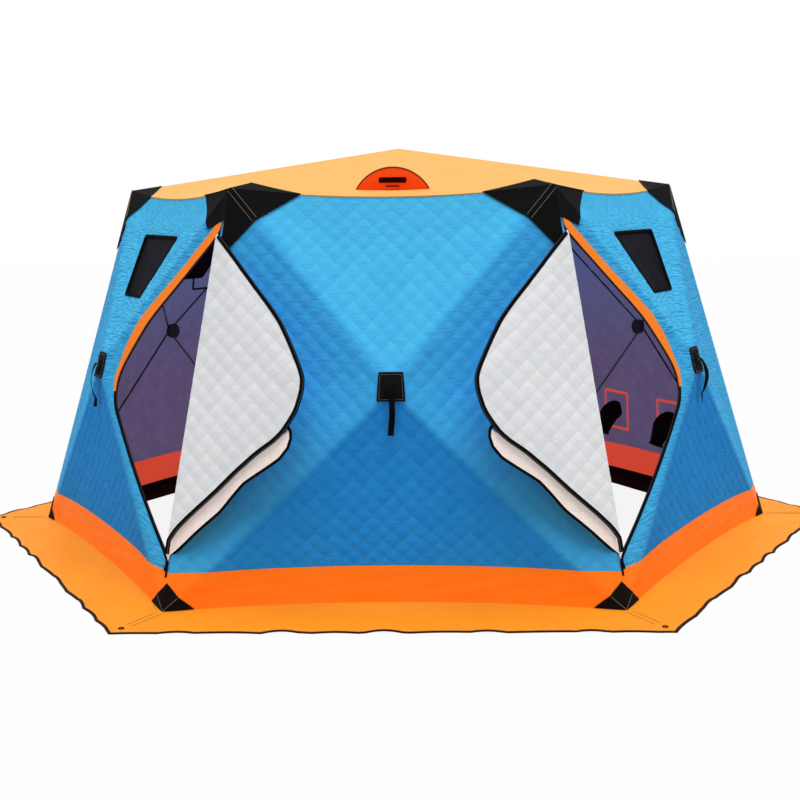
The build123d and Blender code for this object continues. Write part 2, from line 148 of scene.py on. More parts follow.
snow_guard_edge = ((0.250, 0.028), (0.283, 0.082), (0.330, 0.137), (0.405, 0.220), (0.480, 0.302),
                   (0.550, 0.362), (0.620, 0.428), (0.685, 0.520), (0.745, 0.606), (0.795, 0.648),
                   (0.840, 0.660), (0.872, 0.651), (0.893, 0.630))

# The flap inside its doorway, and its binding beside the hinge
flap_quilt_stretch = (0.82, 1.0)
flap_inset = 0.0085
binding_inset = 0.007
zip_inset = 0.001
bound_edge_start = 0.25
hinge_room_at_foot = 0.021
hinge_room_at_head = 0.012

# Windows, in the upper facets
window_drop = 0.217
window_depth = 0.334
window_head_half = 0.2515
window_sill_half = 0.1205

# Thickness of the cloths
band_thickness = 0.008
skirt_thickness = 0.0035
roof_thickness = 0.006
patch_thickness = 0.003
flap_thickness = 0.015
flap_edge_thickness = 0.008
snow_guard_thickness = 0.0025
rain_guard_thickness = 0.003
window_thickness = 0.002
hood_thickness = 0.0035
ground_flap_thickness = 0.003
vent_patch_thickness = 0.002
sleeve_thickness = 0.003

# How high the layers lie over the taut form
top_patch_lift = 0.0050
top_stitch_lift = 0.0090
roof_piping_lift = 0.0065
foot_patch_lift = 0.0035
foot_stitch_lift = 0.0075
hub_patch_lift = 0.0040
rain_guard_lift = 0.0065
snow_guard_lift = 0.0072

# Fineness of the meshes
tape_pitch = 0.012
frame_pitch = 0.010
zip_pitch = 0.0028
patch_pitch = 0.016
leaf_arc_steps = 30
weld_distance = 0.00002
patch_weld_distance = 0.0009

# Plan angle of each wall and of each corner
walls = {
    "front": 270,
    "left_front": 210,
    "left_back": 150,
    "back": 90,
    "right_back": 30,
    "right_front": 330,
}
corners = (240, 180, 120, 60, 0, 300)
door_corners = (240, 300)
window_walls = ("left_front", "left_back", "right_back", "right_front")

hub = Vector((hub_radius, 0, hub_height))
peak = Vector((0, 0, peak_height))


def polar(radius, degrees, height):
    """A point at a plan radius, a plan angle and a height."""
    angle = radians(degrees)
    return Vector((radius * cos(angle), radius * sin(angle), height))


foot_left = polar(base_radius, -30, 0)
foot_right = polar(base_radius, 30, 0)
head_left = polar(top_radius, -30, wall_height)
head_right = polar(top_radius, 30, wall_height)


# Placing of finished meshes

def deselect():
    bpy.ops.object.select_all(action="DESELECT")


def only(piece):
    """Leaves the piece selected and active, and no other."""
    deselect()
    piece.select_set(True)
    bpy.context.view_layer.objects.active = piece


def vectors_of(piece, label):
    """A vector of each of the piece's points, as an array with one row each."""
    rows = np.empty(len(piece.data.vertices) * 3)
    piece.data.vertices.foreach_get(label, rows)
    return rows.reshape(-1, 3)


def points_of(piece):
    return vectors_of(piece, "co")


def normals_of(piece):
    return vectors_of(piece, "normal")


def loop_points(piece):
    """The index of the point of each face corner."""
    index = np.empty(len(piece.data.loops), dtype=np.int64)
    piece.data.loops.foreach_get("vertex_index", index)
    return index


def set_points(piece, rows):
    piece.data.vertices.foreach_set("co", rows.ravel())
    piece.data.update()


def copy_of(piece, name):
    other = piece.copy()
    other.data = piece.data.copy()
    other.name = name
    other.data.name = name
    bpy.context.scene.collection.objects.link(other)
    return other


def turn_to(piece, degrees, mirrored=False):
    """Turns the piece's mesh about Z to its place, mirrored in its middle plane first if asked."""
    if mirrored:
        piece.data.transform(Matrix.Diagonal((1, -1, 1, 1)))
        piece.data.flip_normals()
    piece.data.transform(Matrix.Rotation(radians(degrees), 4, "Z"))


def joined(pieces, name):
    deselect()
    for piece in pieces:
        piece.select_set(True)
    bpy.context.view_layer.objects.active = pieces[0]
    if len(pieces) > 1:
        bpy.ops.object.join()
    pieces[0].name = name
    pieces[0].data.name = name
    deselect()
    return pieces[0]


def dress(piece, materials):
    piece.data.materials.clear()
    for material in materials:
        piece.data.materials.append(material)


def hand_over(piece, body, nodes=()):
    """Tells the frame what the piece rides on and which nodes it stands for, which it hides."""
    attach(piece, body)
    if nodes:
        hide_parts(*nodes)


def put(piece, name, angle, slot, nodes=(), kind=None, body="shelter", mirrored=False, **how):
    """Names a finished piece, turns it to its place and tells the frame about it."""
    piece.name = name
    turn_to(piece, angle, mirrored)
    hand_over(piece, body, nodes)


def repeated(direction, count):
    """The same direction in each of a number of rows."""
    return np.tile(np.array(direction, dtype=float), (count, 1))


def beside(path, up):
    """The sideways directions of a path, for its upward ones."""
    return unit(np.cross(up, np.gradient(path, axis=0)))


def face_towards(piece, direction):
    """Turns an open sheet's faces over where they look away from a direction."""
    if normals_of(piece).mean(axis=0) @ np.array(direction) < 0:
        piece.data.flip_normals()


# Materials

def new_group(name, inputs, outputs):
    """An empty shader node group with named inputs, each (name, kind, default), and outputs."""
    group = bpy.data.node_groups.new(name, "ShaderNodeTree")
    for label, kind, default in inputs:
        socket = group.interface.new_socket(label, in_out="INPUT", socket_type=kind)
        if default is not None:
            socket.default_value = default
    for label, kind in outputs:
        group.interface.new_socket(label, in_out="OUTPUT", socket_type=kind)
    return group


def add(tree, kind, **settings):
    node = tree.nodes.new(kind)
    for label, value in settings.items():
        setattr(node, label, value)
    return node


def math(tree, operation, first, second=None, third=None):
    """A math node on sockets or numbers."""
    node = add(tree, "ShaderNodeMath", operation=operation)
    for index, value in enumerate((first, second, third)):
        if value is None:
            continue
        if isinstance(value, (int, float)):
            node.inputs[index].default_value = value
        else:
            tree.links.new(value, node.inputs[index])
    return node.outputs[0]


def quilting_group():
    """Diamond quilting: the puff between the stitched lines, the lines and the thread in them."""
    group = new_group("diamond quilting", [
        ("Cloth", "NodeSocketVector", None),
        ("Cell", "NodeSocketFloat", quilt_cell),
    ], [("Puff", "NodeSocketFloat"), ("Line", "NodeSocketFloat"), ("Thread", "NodeSocketFloat"),
        ("Tone", "NodeSocketFloat")])
    source = add(group, "NodeGroupInput")
    result = add(group, "NodeGroupOutput")
    turn = add(group, "ShaderNodeVectorRotate", rotation_type="Z_AXIS")
    turn.inputs["Angle"].default_value = pi / 4
    group.links.new(source.outputs["Cloth"], turn.inputs["Vector"])
    axes = add(group, "ShaderNodeSeparateXYZ")
    group.links.new(turn.outputs[0], axes.inputs[0])
    nearest = []
    stitches = []
    diamond = add(group, "ShaderNodeCombineXYZ")
    for across, run in ((0, 1), (1, 0)):
        cell = math(group, "DIVIDE", axes.outputs[across], source.outputs["Cell"])
        group.links.new(math(group, "FLOOR", cell), diamond.inputs[across])
        share = math(group, "FRACT", cell)
        away = math(group, "SUBTRACT", 0.5, math(group, "ABSOLUTE", math(group, "SUBTRACT", share, 0.5)))
        nearest.append(away)
        beat = math(group, "FRACT", math(group, "DIVIDE", axes.outputs[run], stitch_length))
        on = math(group, "LESS_THAN", beat, stitch_share)
        close = math(group, "LESS_THAN", away, stitch_reach)
        stitches.append(math(group, "MULTIPLY", on, close))
    first, second = nearest
    sides = math(group, "MULTIPLY", first, second)
    puff = math(group, "POWER", math(group, "MULTIPLY", sides, 4.0), puff_roundness)
    group.links.new(puff, result.inputs["Puff"])
    least = math(group, "MINIMUM", first, second)
    distance = math(group, "DIVIDE", least, line_reach)
    line = math(group, "SUBTRACT", 1.0, math(group, "MINIMUM", distance, 1.0))
    group.links.new(line, result.inputs["Line"])
    thread = math(group, "MAXIMUM", stitches[0], stitches[1])
    group.links.new(thread, result.inputs["Thread"])
    # Tone: a random value for each diamond, used as painted shade, as if each diamond tilted to the light a
    # little differently
    tone = add(group, "ShaderNodeTexWhiteNoise", noise_dimensions="3D")
    group.links.new(diamond.outputs[0], tone.inputs["Vector"])
    group.links.new(tone.outputs["Value"], result.inputs["Tone"])
    return group


def weave_group():
    """A plain weave: over-and-under threads, with a slow change of shade along the cloth."""
    group = new_group("plain weave", [
        ("Cloth", "NodeSocketVector", None),
        ("Threads per metre", "NodeSocketFloat", 900.0),
    ], [("Height", "NodeSocketFloat"), ("Shade", "NodeSocketFloat")])
    source = add(group, "NodeGroupInput")
    result = add(group, "NodeGroupOutput")
    scale = add(group, "ShaderNodeVectorMath", operation="SCALE")
    group.links.new(source.outputs["Cloth"], scale.inputs[0])
    group.links.new(source.outputs["Threads per metre"], scale.inputs["Scale"])
    checks = add(group, "ShaderNodeTexChecker")
    checks.inputs["Scale"].default_value = 1.0
    checks.inputs["Color1"].default_value = (1, 1, 1, 1)
    checks.inputs["Color2"].default_value = (0, 0, 0, 1)
    group.links.new(scale.outputs[0], checks.inputs["Vector"])
    group.links.new(checks.outputs["Fac"], result.inputs["Height"])
    shade = add(group, "ShaderNodeTexNoise")
    shade.inputs["Scale"].default_value = 2.3
    shade.inputs["Detail"].default_value = 4.0
    group.links.new(source.outputs["Cloth"], shade.inputs["Vector"])
    group.links.new(shade.outputs["Fac"], result.inputs["Shade"])
    return group


def creases_group():
    """Soft creases of handled cloth, longer one way than the other."""
    group = new_group("cloth creases", [
        ("Cloth", "NodeSocketVector", None),
        ("Stretch", "NodeSocketFloat", 3.0),
        ("Scale", "NodeSocketFloat", 14.0),
    ], [("Height", "NodeSocketFloat")])
    source = add(group, "NodeGroupInput")
    result = add(group, "NodeGroupOutput")
    axes = add(group, "ShaderNodeSeparateXYZ")
    group.links.new(source.outputs["Cloth"], axes.inputs[0])
    tall = math(group, "MULTIPLY", axes.outputs["Y"], source.outputs["Stretch"])
    vector = add(group, "ShaderNodeCombineXYZ")
    group.links.new(axes.outputs["X"], vector.inputs["X"])
    group.links.new(tall, vector.inputs["Y"])
    group.links.new(axes.outputs["Z"], vector.inputs["Z"])
    folds = add(group, "ShaderNodeTexNoise")
    folds.inputs["Detail"].default_value = 3.0
    folds.inputs["Distortion"].default_value = 0.6
    group.links.new(vector.outputs[0], folds.inputs["Vector"])
    group.links.new(source.outputs["Scale"], folds.inputs["Scale"])
    ridge = math(group, "ABSOLUTE", math(group, "SUBTRACT", folds.outputs["Fac"], 0.5))
    height = math(group, "SUBTRACT", 1.0, math(group, "MULTIPLY", ridge, 4.0))
    group.links.new(height, result.inputs["Height"])
    return group


groups = {"quilting": quilting_group(), "weave": weave_group(), "creases": creases_group()}


def place_group(tree, label):
    node = add(tree, "ShaderNodeGroup")
    node.node_tree = groups[label]
    return node


def shades(tree, factor, dark, light):
    """A colour between two, by a factor socket."""
    mix = add(tree, "ShaderNodeMix", data_type="RGBA")
    mix.inputs["A"].default_value = (*dark, 1)
    mix.inputs["B"].default_value = (*light, 1)
    tree.links.new(factor, mix.inputs["Factor"])
    return mix.outputs["Result"]


def tinted(tree, ground, colour, factor):
    """A colour socket drawn towards another colour by a factor socket."""
    mix = add(tree, "ShaderNodeMix", data_type="RGBA")
    mix.inputs["B"].default_value = (*colour, 1)
    tree.links.new(ground, mix.inputs["A"])
    tree.links.new(factor, mix.inputs["Factor"])
    return mix.outputs["Result"]


def plain_material(name, roughness, **settings):
    """A material with its node tree and its shader, whose sockets take the settings."""
    material = bpy.data.materials.new(name)
    material.use_nodes = True
    tree = material.node_tree
    shader = tree.nodes["Principled BSDF"]
    shader.inputs["Roughness"].default_value = roughness
    for label, value in settings.items():
        shader.inputs[label.replace("_", " ")].default_value = value
    return material, tree, shader


def colour_shader(tree, shader, ground, glow):
    """Gives the shader its colour, and a painted glow in the same colour that stands in for daylight coming
    through the cloth.
    """
    tree.links.new(ground, shader.inputs["Base Color"])
    if glow:
        tree.links.new(ground, shader.inputs["Emission Color"])
        shader.inputs["Emission Strength"].default_value = glow


def cloth_coordinates(tree):
    return add(tree, "ShaderNodeUVMap", uv_map="cloth").outputs["UV"]


def bump(tree, shader, layers):
    """Stacks height sockets, each with its depth in metres, into the shader's normal."""
    total = None
    for height, depth in layers:
        scaled = math(tree, "MULTIPLY", height, depth)
        total = scaled if total is None else math(tree, "ADD", total, scaled)
    node = add(tree, "ShaderNodeBump")
    node.inputs["Distance"].default_value = 1.0
    tree.links.new(total, node.inputs["Height"])
    tree.links.new(node.outputs[0], shader.inputs["Normal"])


def quilted_material(name, dark, light, line, roughness, crease_depth, puff=0.0022, painted_light_colour=None, glow=0.0,
                     upper=None):
    """Quilted cloth: shade changes, stitched lines, creases and a fine weave. It may have a painted
    highlight, a paler colour on the facets that face up, a painted glow for the daylight that comes through
    it, and another colour high up, painted as the bluer light there."""
    material, tree, shader = plain_material(name, roughness, Specular_IOR_Level=0.01)
    cloth = cloth_coordinates(tree)
    quilt = place_group(tree, "quilting")
    weave = place_group(tree, "weave")
    crease = place_group(tree, "creases")
    for node in (quilt, weave, crease):
        tree.links.new(cloth, node.inputs["Cloth"])
    # Painted shade from diamond to diamond, mixed with the slow shade change of the weave
    half_tone = math(tree, "MULTIPLY", quilt.outputs["Tone"], 0.5)
    ground = shades(tree, math(tree, "MULTIPLY_ADD", weave.outputs["Shade"], 0.5, half_tone), dark, light)
    # Painted highlight and shade: facets that face up are drawn towards a paler colour by the painted light
    # share, and lower facets keep the darker colour
    if painted_light_colour:
        painted_light_share = add(tree, "ShaderNodeAttribute", attribute_name="painted_light_share").outputs["Fac"]
        evenness = math(tree, "MULTIPLY_ADD", quilt.outputs["Tone"], 0.16, 0.84)
        ground = tinted(tree, ground, painted_light_colour, math(tree, "MULTIPLY", painted_light_share, evenness))
    # Painted light: higher up, the colour is drawn towards a bluer tint, standing in for the light inside the
    # hut
    if upper:
        axes = add(tree, "ShaderNodeSeparateXYZ")
        tree.links.new(cloth, axes.inputs[0])
        rise = add(tree, "ShaderNodeMapRange")
        rise.inputs["From Min"].default_value = 0.75
        rise.inputs["From Max"].default_value = 1.45
        tree.links.new(axes.outputs["Y"], rise.inputs["Value"])
        ground = tinted(tree, ground, upper, rise.outputs[0])
    # Stitched lines get their own colour: painted shade in the dents on the linings, a painted highlight on
    # the blue cloth
    ground = tinted(tree, ground, line, math(tree, "MULTIPLY", quilt.outputs["Line"], line_strength))
    colour_shader(tree, shader, ground, glow)
    crinkled = add(tree, "ShaderNodeAttribute", attribute_name="crinkle").outputs["Fac"]
    drawn_flat = math(tree, "SUBTRACT", 1.0, math(tree, "MULTIPLY", crinkled, crinkle_flattening))
    fine = place_group(tree, "creases")
    tree.links.new(cloth, fine.inputs["Cloth"])
    fine.inputs["Stretch"].default_value = crinkle_stretch
    fine.inputs["Scale"].default_value = crinkle_scale
    bump(tree, shader, [
        (math(tree, "MULTIPLY", quilt.outputs["Puff"], drawn_flat), puff),
        (quilt.outputs["Thread"], thread_depth),
        (crease.outputs["Height"], crease_depth * 0.7),
        (math(tree, "MULTIPLY", crinkled, fine.outputs["Height"]), crease_depth * 4.4),
        (weave.outputs["Height"], weave_depth_in_quilt),
    ])
    return material


def cloth_material(name, dark, light, roughness, crease_depth, threads=900.0, weave_depth=0.0001,
                   stretch=1.6, scale=9.0, glow=0.0, **settings):
    """Plain woven cloth: shade changes, creases and the weave."""
    settings.setdefault("Specular_IOR_Level", 0.12)
    material, tree, shader = plain_material(name, roughness, **settings)
    cloth = cloth_coordinates(tree)
    weave = place_group(tree, "weave")
    crease = place_group(tree, "creases")
    for node in (weave, crease):
        tree.links.new(cloth, node.inputs["Cloth"])
    weave.inputs["Threads per metre"].default_value = threads
    crease.inputs["Stretch"].default_value = stretch
    crease.inputs["Scale"].default_value = scale
    colour_shader(tree, shader, shades(tree, weave.outputs["Shade"], dark, light), glow)
    bump(tree, shader, [(crease.outputs["Height"], crease_depth), (weave.outputs["Height"], weave_depth)])
    return material


def moulded_material(name, dark, light, roughness):
    """Moulded plastic or coated rod with a fine grain, on Object coordinates."""
    material, tree, shader = plain_material(name, roughness)
    place = add(tree, "ShaderNodeTexCoord").outputs["Object"]
    grain = add(tree, "ShaderNodeTexNoise")
    grain.inputs["Scale"].default_value = 900.0
    tree.links.new(place, grain.inputs["Vector"])
    tone = add(tree, "ShaderNodeTexNoise")
    tone.inputs["Scale"].default_value = 12.0
    tree.links.new(place, tone.inputs["Vector"])
    tree.links.new(shades(tree, tone.outputs["Fac"], dark, light), shader.inputs["Base Color"])
    bump(tree, shader, [(grain.outputs["Fac"], 0.00008)])
    return material


# The line colour is a painted highlight on the stitched lines, and the paler colour is a painted highlight on
# facets that face up
blue_quilt = quilted_material(
    "blue quilted nylon", dark=(0.019, 0.31, 0.88), light=(0.032, 0.38, 0.96), line=(0.085, 0.47, 0.98),
    roughness=0.50, crease_depth=0.0014, painted_light_colour=(0.090, 0.60, 0.99)
)
# Painted light: the glow stands in for daylight through the flap and light from the floor; the darker line
# colour is painted shade in the stitched dents
lining_quilt = quilted_material(
    "grey-white quilted lining", dark=(0.78, 0.80, 0.82), light=(0.89, 0.90, 0.91),
    line=(0.62, 0.64, 0.68), roughness=0.66, crease_depth=0.0004, puff=0.0016, glow=0.15
)
# Painted shade and light: the inside face of the grey-white lining is given a dark lilac colour for the shade
# in the hut and the light through its blue and orange walls, bluer high up, with a painted glow
inner_quilt = quilted_material(
    "shaded lilac quilted lining", dark=(0.25, 0.19, 0.37), light=(0.32, 0.26, 0.46),
    line=(0.20, 0.16, 0.32), roughness=0.66, crease_depth=0.0006, glow=0.245, upper=(0.22, 0.28, 0.58)
)
# Painted light: a strong glow lifts this lining, which lies in shade under the flap
guard_lining = quilted_material(
    "pale pink quilted guard lining", dark=(0.86, 0.73, 0.67), light=(0.92, 0.82, 0.77),
    line=(0.74, 0.60, 0.55), roughness=0.66, crease_depth=0.0014, puff=0.0012, glow=0.36
)
# Painted light: a glow in the cloth's own colour stands in for daylight coming through it
band_cloth = cloth_material(
    "orange coated nylon band", dark=(0.97, 0.165, 0.006), light=(1.0, 0.215, 0.010), roughness=0.5,
    crease_depth=0.0016, glow=0.30
)
skirt_cloth = cloth_material(
    "light orange coated nylon", dark=(0.94, 0.29, 0.013), light=(0.98, 0.37, 0.022), roughness=0.55,
    crease_depth=0.0022
)
roof_cloth = cloth_material(
    "pale orange roof nylon", dark=(0.88, 0.47, 0.125), light=(0.94, 0.53, 0.155), roughness=0.6,
    crease_depth=0.0008
)
# Painted light: a glow in the cloth's own colour stands in for daylight coming through it
hood_cloth = cloth_material(
    "bright orange hood cloth", dark=(0.93, 0.055, 0.003), light=(1.0, 0.085, 0.005), roughness=0.5,
    crease_depth=0.0007, glow=0.22
)
# Painted light: a glow in the cloth's own colour stands in for daylight coming through it
guard_cloth = cloth_material(
    "orange guard nylon", dark=(0.97, 0.20, 0.012), light=(1.0, 0.26, 0.020), roughness=0.5,
    crease_depth=0.0008, glow=0.25
)
# Painted light: the inside of the orange band, coloured deep red with a strong painted glow for the daylight
# that comes through it
band_lining = cloth_material(
    "red-orange inside of the band", dark=(0.66, 0.060, 0.030), light=(0.78, 0.085, 0.04), roughness=0.6,
    crease_depth=0.0010, glow=0.74
)
hem_tape = cloth_material(
    "dark brown hem tape", dark=(0.022, 0.009, 0.006), light=(0.045, 0.018, 0.012), roughness=0.7,
    crease_depth=0.0004, threads=420.0, weave_depth=0.0004, Specular_IOR_Level=0.05
)
pale_thread = cloth_material(
    "pale thread", dark=(0.26, 0.25, 0.23), light=(0.38, 0.37, 0.34), roughness=0.8, crease_depth=0.0001
)
brown_thread = cloth_material(
    "brown thread", dark=(0.16, 0.035, 0.008), light=(0.24, 0.055, 0.012), roughness=0.8,
    crease_depth=0.0001
)
slot_edge = cloth_material(
    "dark red slot edge", dark=(0.060, 0.002, 0.001), light=(0.095, 0.004, 0.002), roughness=0.8,
    crease_depth=0.0002, Specular_IOR_Level=0.02
)
black_cloth = cloth_material(
    "black heavy nylon", dark=(0.005, 0.0045, 0.0045), light=(0.010, 0.0095, 0.0095), roughness=0.8,
    crease_depth=0.0010, threads=500.0, weave_depth=0.0002, Specular_IOR_Level=0.04
)
black_tape = cloth_material(
    "black webbing", dark=(0.003, 0.003, 0.003), light=(0.008, 0.0075, 0.0075), roughness=0.8,
    crease_depth=0.0002, threads=420.0, weave_depth=0.0003, Specular_IOR_Level=0.02
)
window_sheet = cloth_material(
    "dark window sheet", dark=(0.005, 0.005, 0.009), light=(0.012, 0.012, 0.019), roughness=0.6,
    crease_depth=0.0008, Specular_IOR_Level=0.015
)
pole_finish = moulded_material(
    "black glass-fibre rod", dark=(0.010, 0.010, 0.011), light=(0.022, 0.022, 0.024), roughness=0.35
)
zip_finish = moulded_material(
    "black zip coil", dark=(0.014, 0.014, 0.015), light=(0.035, 0.035, 0.037), roughness=0.38
)
hub_finish = moulded_material(
    "black moulded plastic", dark=(0.012, 0.012, 0.012), light=(0.026, 0.026, 0.027), roughness=0.42
)


# The form of a wall, over its flat coordinates Y and Z

def wall_reach(y, z):
    """How far out the taut wall lies at arrays of flat coordinates: a fan from the hub to its outline."""
    across = np.abs(y)
    rise = z - hub_height
    edge_slope = (head_right.y - foot_right.y) / wall_height
    head_slope = head_right.y / (wall_height - hub_height)
    foot_slope = foot_right.y / hub_height
    above = (rise > 0) & (across < head_slope * rise)
    below = (rise < 0) & (across < -foot_slope * rise)
    with np.errstate(divide="ignore", invalid="ignore"):
        drop = wall_height - seam_sag - hub_height
        bend = seam_sag * (across / head_right.y) ** 2
        seam = 2 * drop / (rise + np.sqrt(np.maximum(rise**2 - 4 * bend * drop, 0)))
        depth = hub_height - foot_rise
        lift = foot_rise * (across / foot_right.y) ** 2
        foot = 2 * depth / (-rise + np.sqrt(np.maximum(rise**2 - 4 * lift * depth, 0)))
        side = (foot_right.y + edge_slope * hub_height) / (across - edge_slope * rise)
    corner_height = hub_height + rise * side
    corner_reach = foot_right.x + (head_right.x - foot_right.x) * corner_height / wall_height
    multiple = np.where(above, seam, np.where(below, foot, side))
    outline = np.where(above, head_right.x, np.where(below, foot_right.x, corner_reach))
    at_hub = (np.abs(rise) < 1e-9) & (across < 1e-9)
    multiple = np.where(at_hub, 1e9, multiple)
    return hub_radius + (np.where(at_hub, hub_radius, outline) - hub_radius) / multiple


def facet_middle(y, z):
    """From 0 on the ribs and the outline of the wall to 1 in the middle of a facet."""
    across = np.abs(y)
    rise = z - hub_height
    upper = np.abs(across * (wall_height - hub_height) - head_right.y * rise)
    upper = upper / hypot(head_right.y, wall_height - hub_height)
    lower = np.abs(across * hub_height + foot_right.y * rise) / hypot(foot_right.y, hub_height)
    edge = foot_right.y + (head_right.y - foot_right.y) * z / wall_height - across
    near = np.minimum.reduce([upper, lower, edge, wall_height - z, z - 0.02])
    return np.clip(near / facet_pull_run, 0, 1) ** 0.8


def soft_wall_reach(y, z):
    """The taut wall with its ribs rounded and its facets drawn in a little."""
    total = 0
    ring = [(0, 0)] + [(cos(k * pi / 4), sin(k * pi / 4)) for k in range(8)]
    for right, up in ring:
        total = total + wall_reach(y + right * rib_softness, z + up * rib_softness)
    return total / len(ring) - facet_pull * facet_middle(y, z)


def sag_of_seam(y):
    return seam_sag * (1 - (y / head_right.y) ** 2)


def rise_of_foot(y):
    return foot_rise * np.maximum(1 - (y / foot_right.y) ** 2, 0)


def edit(piece):
    """Opens the piece in edit mode, ready for faces to be chosen."""
    only(piece)
    bpy.ops.object.mode_set(mode="EDIT")
    bpy.context.tool_settings.mesh_select_mode = (False, False, True)


def leave_edit():
    bpy.ops.object.mode_set(mode="OBJECT")


def choose_all():
    bpy.ops.mesh.select_all(action="SELECT")


def weld(piece, distance=weld_distance, cap=False, even=True):
    """Joins points that coincide, closes open ends if asked, and makes the faces look out."""
    edit(piece)
    choose_all()
    bpy.ops.mesh.remove_doubles(threshold=distance)
    choose_all()
    if cap:
        bpy.ops.mesh.fill_holes(sides=0)
        choose_all()
    if even:
        bpy.ops.mesh.normals_make_consistent(inside=False)
    leave_edit()


def choose_faces(flags):
    """Selects faces of the piece in edit mode by one flag for each."""
    mesh = bmesh.from_edit_mesh(bpy.context.edit_object.data)
    for face, flag in zip(mesh.faces, flags):
        face.select_set(bool(flag))
    mesh.select_flush_mode()
    bmesh.update_edit_mesh(bpy.context.edit_object.data)


def cut_side_off(start, end):
    """Cuts the piece in edit mode along the line between two flat points and drops its right side."""
    choose_all()
    normal = Vector((0, end[1] - start[1], start[0] - end[0])).normalized()
    bpy.ops.mesh.bisect(plane_co=(0, start[0], start[1]), plane_no=normal, clear_outer=True)


def flat_sheet(name, side, step, turn):
    """A square grid sheet in Y and Z, turned by an angle."""
    count = round(side / step)
    deselect()
    bpy.ops.mesh.primitive_grid_add(x_subdivisions=count, y_subdivisions=count, size=count * step,
                                    location=(0, 0, 0))
    piece = bpy.context.object
    piece.name = name
    piece.data.transform(Matrix.Rotation(turn, 4, "Z"))
    stood_up = Matrix(((0, 0, 1, 0), (1, 0, 0, 0), (0, 1, 0, 0), (0, 0, 0, 1)))
    piece.data.transform(stood_up)
    return piece


def set_cloth(piece, flat):
    """Stores flat coordinates in metres, one row for each point, as the piece's UV map."""
    for other in list(piece.data.uv_layers):
        piece.data.uv_layers.remove(other)
    layer = piece.data.uv_layers.new(name="cloth")
    layer.data.foreach_set("uv", np.asarray(flat)[loop_points(piece)].ravel())


def quilt_height(flat):
    """From 0 on the stitched lines to 1 in the middle of a diamond."""
    first = (flat[:, 0] + flat[:, 1]) / sqrt(2) / quilt_cell
    second = (flat[:, 1] - flat[:, 0]) / sqrt(2) / quilt_cell
    return (np.abs(np.sin(pi * first)) * np.abs(np.sin(pi * second))) ** quilt_roundness


def rows_between(start, end, shares):
    """Rows from one point to another, one for each share."""
    start = np.asarray(start, dtype=float)
    return start + (np.asarray(end, dtype=float) - start) * np.asarray(shares)[:, None]


def unit(rows):
    return rows / np.linalg.norm(rows, axis=-1, keepdims=True)


def inside(points, outline):
    """Which flat points lie inside a closed outline."""
    corner = np.asarray(outline, dtype=float)
    following = np.roll(corner, -1, axis=0)
    level = points[:, None, 1]
    crossed = (corner[:, 1] > level) != (following[:, 1] > level)
    rise = following[:, 1] - corner[:, 1]
    rise = np.where(np.abs(rise) < 1e-12, 1e-12, rise)
    at = corner[:, 0] + (level - corner[:, 1]) * (following - corner)[:, 0] / rise
    return (crossed & (points[:, None, 0] < at)).sum(axis=1) % 2 == 1


def nearest_on(points, outline):
    """The nearest point of a closed outline to each flat point."""
    corner = np.asarray(outline, dtype=float)
    side = np.roll(corner, -1, axis=0) - corner
    away = points[:, None, :] - corner[None]
    share = np.clip((away * side).sum(-1) / (side**2).sum(-1), 0, 1)
    foot = corner + side * share[:, :, None]
    best = np.linalg.norm(points[:, None, :] - foot, axis=-1).argmin(axis=1)
    return foot[np.arange(len(points)), best]


def open_edge_points(piece):
    """A flag for each point that lies on an open edge of the piece."""
    edges = np.empty(len(piece.data.loops), dtype=np.int64)
    piece.data.loops.foreach_get("edge_index", edges)
    ends = np.empty(len(piece.data.edges) * 2, dtype=np.int64)
    piece.data.edges.foreach_get("vertices", ends)
    single = np.bincount(edges, minlength=len(piece.data.edges)) == 1
    flags = np.zeros(len(piece.data.vertices), dtype=bool)
    flags[ends.reshape(-1, 2)[single].ravel()] = True
    return flags


def trim(piece, outline, keep_inside, reach=0.024):
    """Drops the sheet on one side of a closed outline and draws its new edge onto the outline."""
    middles = np.empty(len(piece.data.polygons) * 3)
    piece.data.polygons.foreach_get("center", middles)
    within = inside(middles.reshape(-1, 3)[:, 1:], outline)
    before = open_edge_points(piece)
    rows = points_of(piece)
    kept_edge = {tuple(row) for row in np.round(rows[before], 6)}
    edit(piece)
    choose_faces(within != keep_inside)
    bpy.ops.mesh.delete(type="FACE")
    leave_edit()
    rows = points_of(piece)
    fresh = open_edge_points(piece) & np.array([tuple(row) not in kept_edge for row in np.round(rows, 6)])
    target = nearest_on(rows[fresh][:, 1:], outline)
    near = np.linalg.norm(target - rows[fresh][:, 1:], axis=1) < reach
    chosen = np.flatnonzero(fresh)[near]
    rows[chosen, 1:] = target[near]
    set_points(piece, rows)


def apply_modifier(piece, modifier):
    only(piece)
    bpy.ops.object.modifier_apply(modifier=modifier.name)


def give_thickness(piece, thickness, materials, shares=None, outwards=False):
    """Makes an open sheet a closed one. Shares of the thickness may differ from point to point."""
    dress(piece, materials)
    modifier = piece.modifiers.new("thickness", "SOLIDIFY")
    modifier.thickness = thickness
    modifier.offset = 1 if outwards else -1
    modifier.material_offset = len(materials) - 1
    if shares is not None:
        group = piece.vertex_groups.new(name="thickness")
        for index, share in enumerate(shares):
            group.add([index], float(share), "REPLACE")
        modifier.vertex_group = group.name
    apply_modifier(piece, modifier)
    piece.vertex_groups.clear()
    smooth(piece)


def smooth(piece, angle=50):
    only(piece)
    bpy.ops.object.shade_smooth_by_angle(angle=radians(angle))


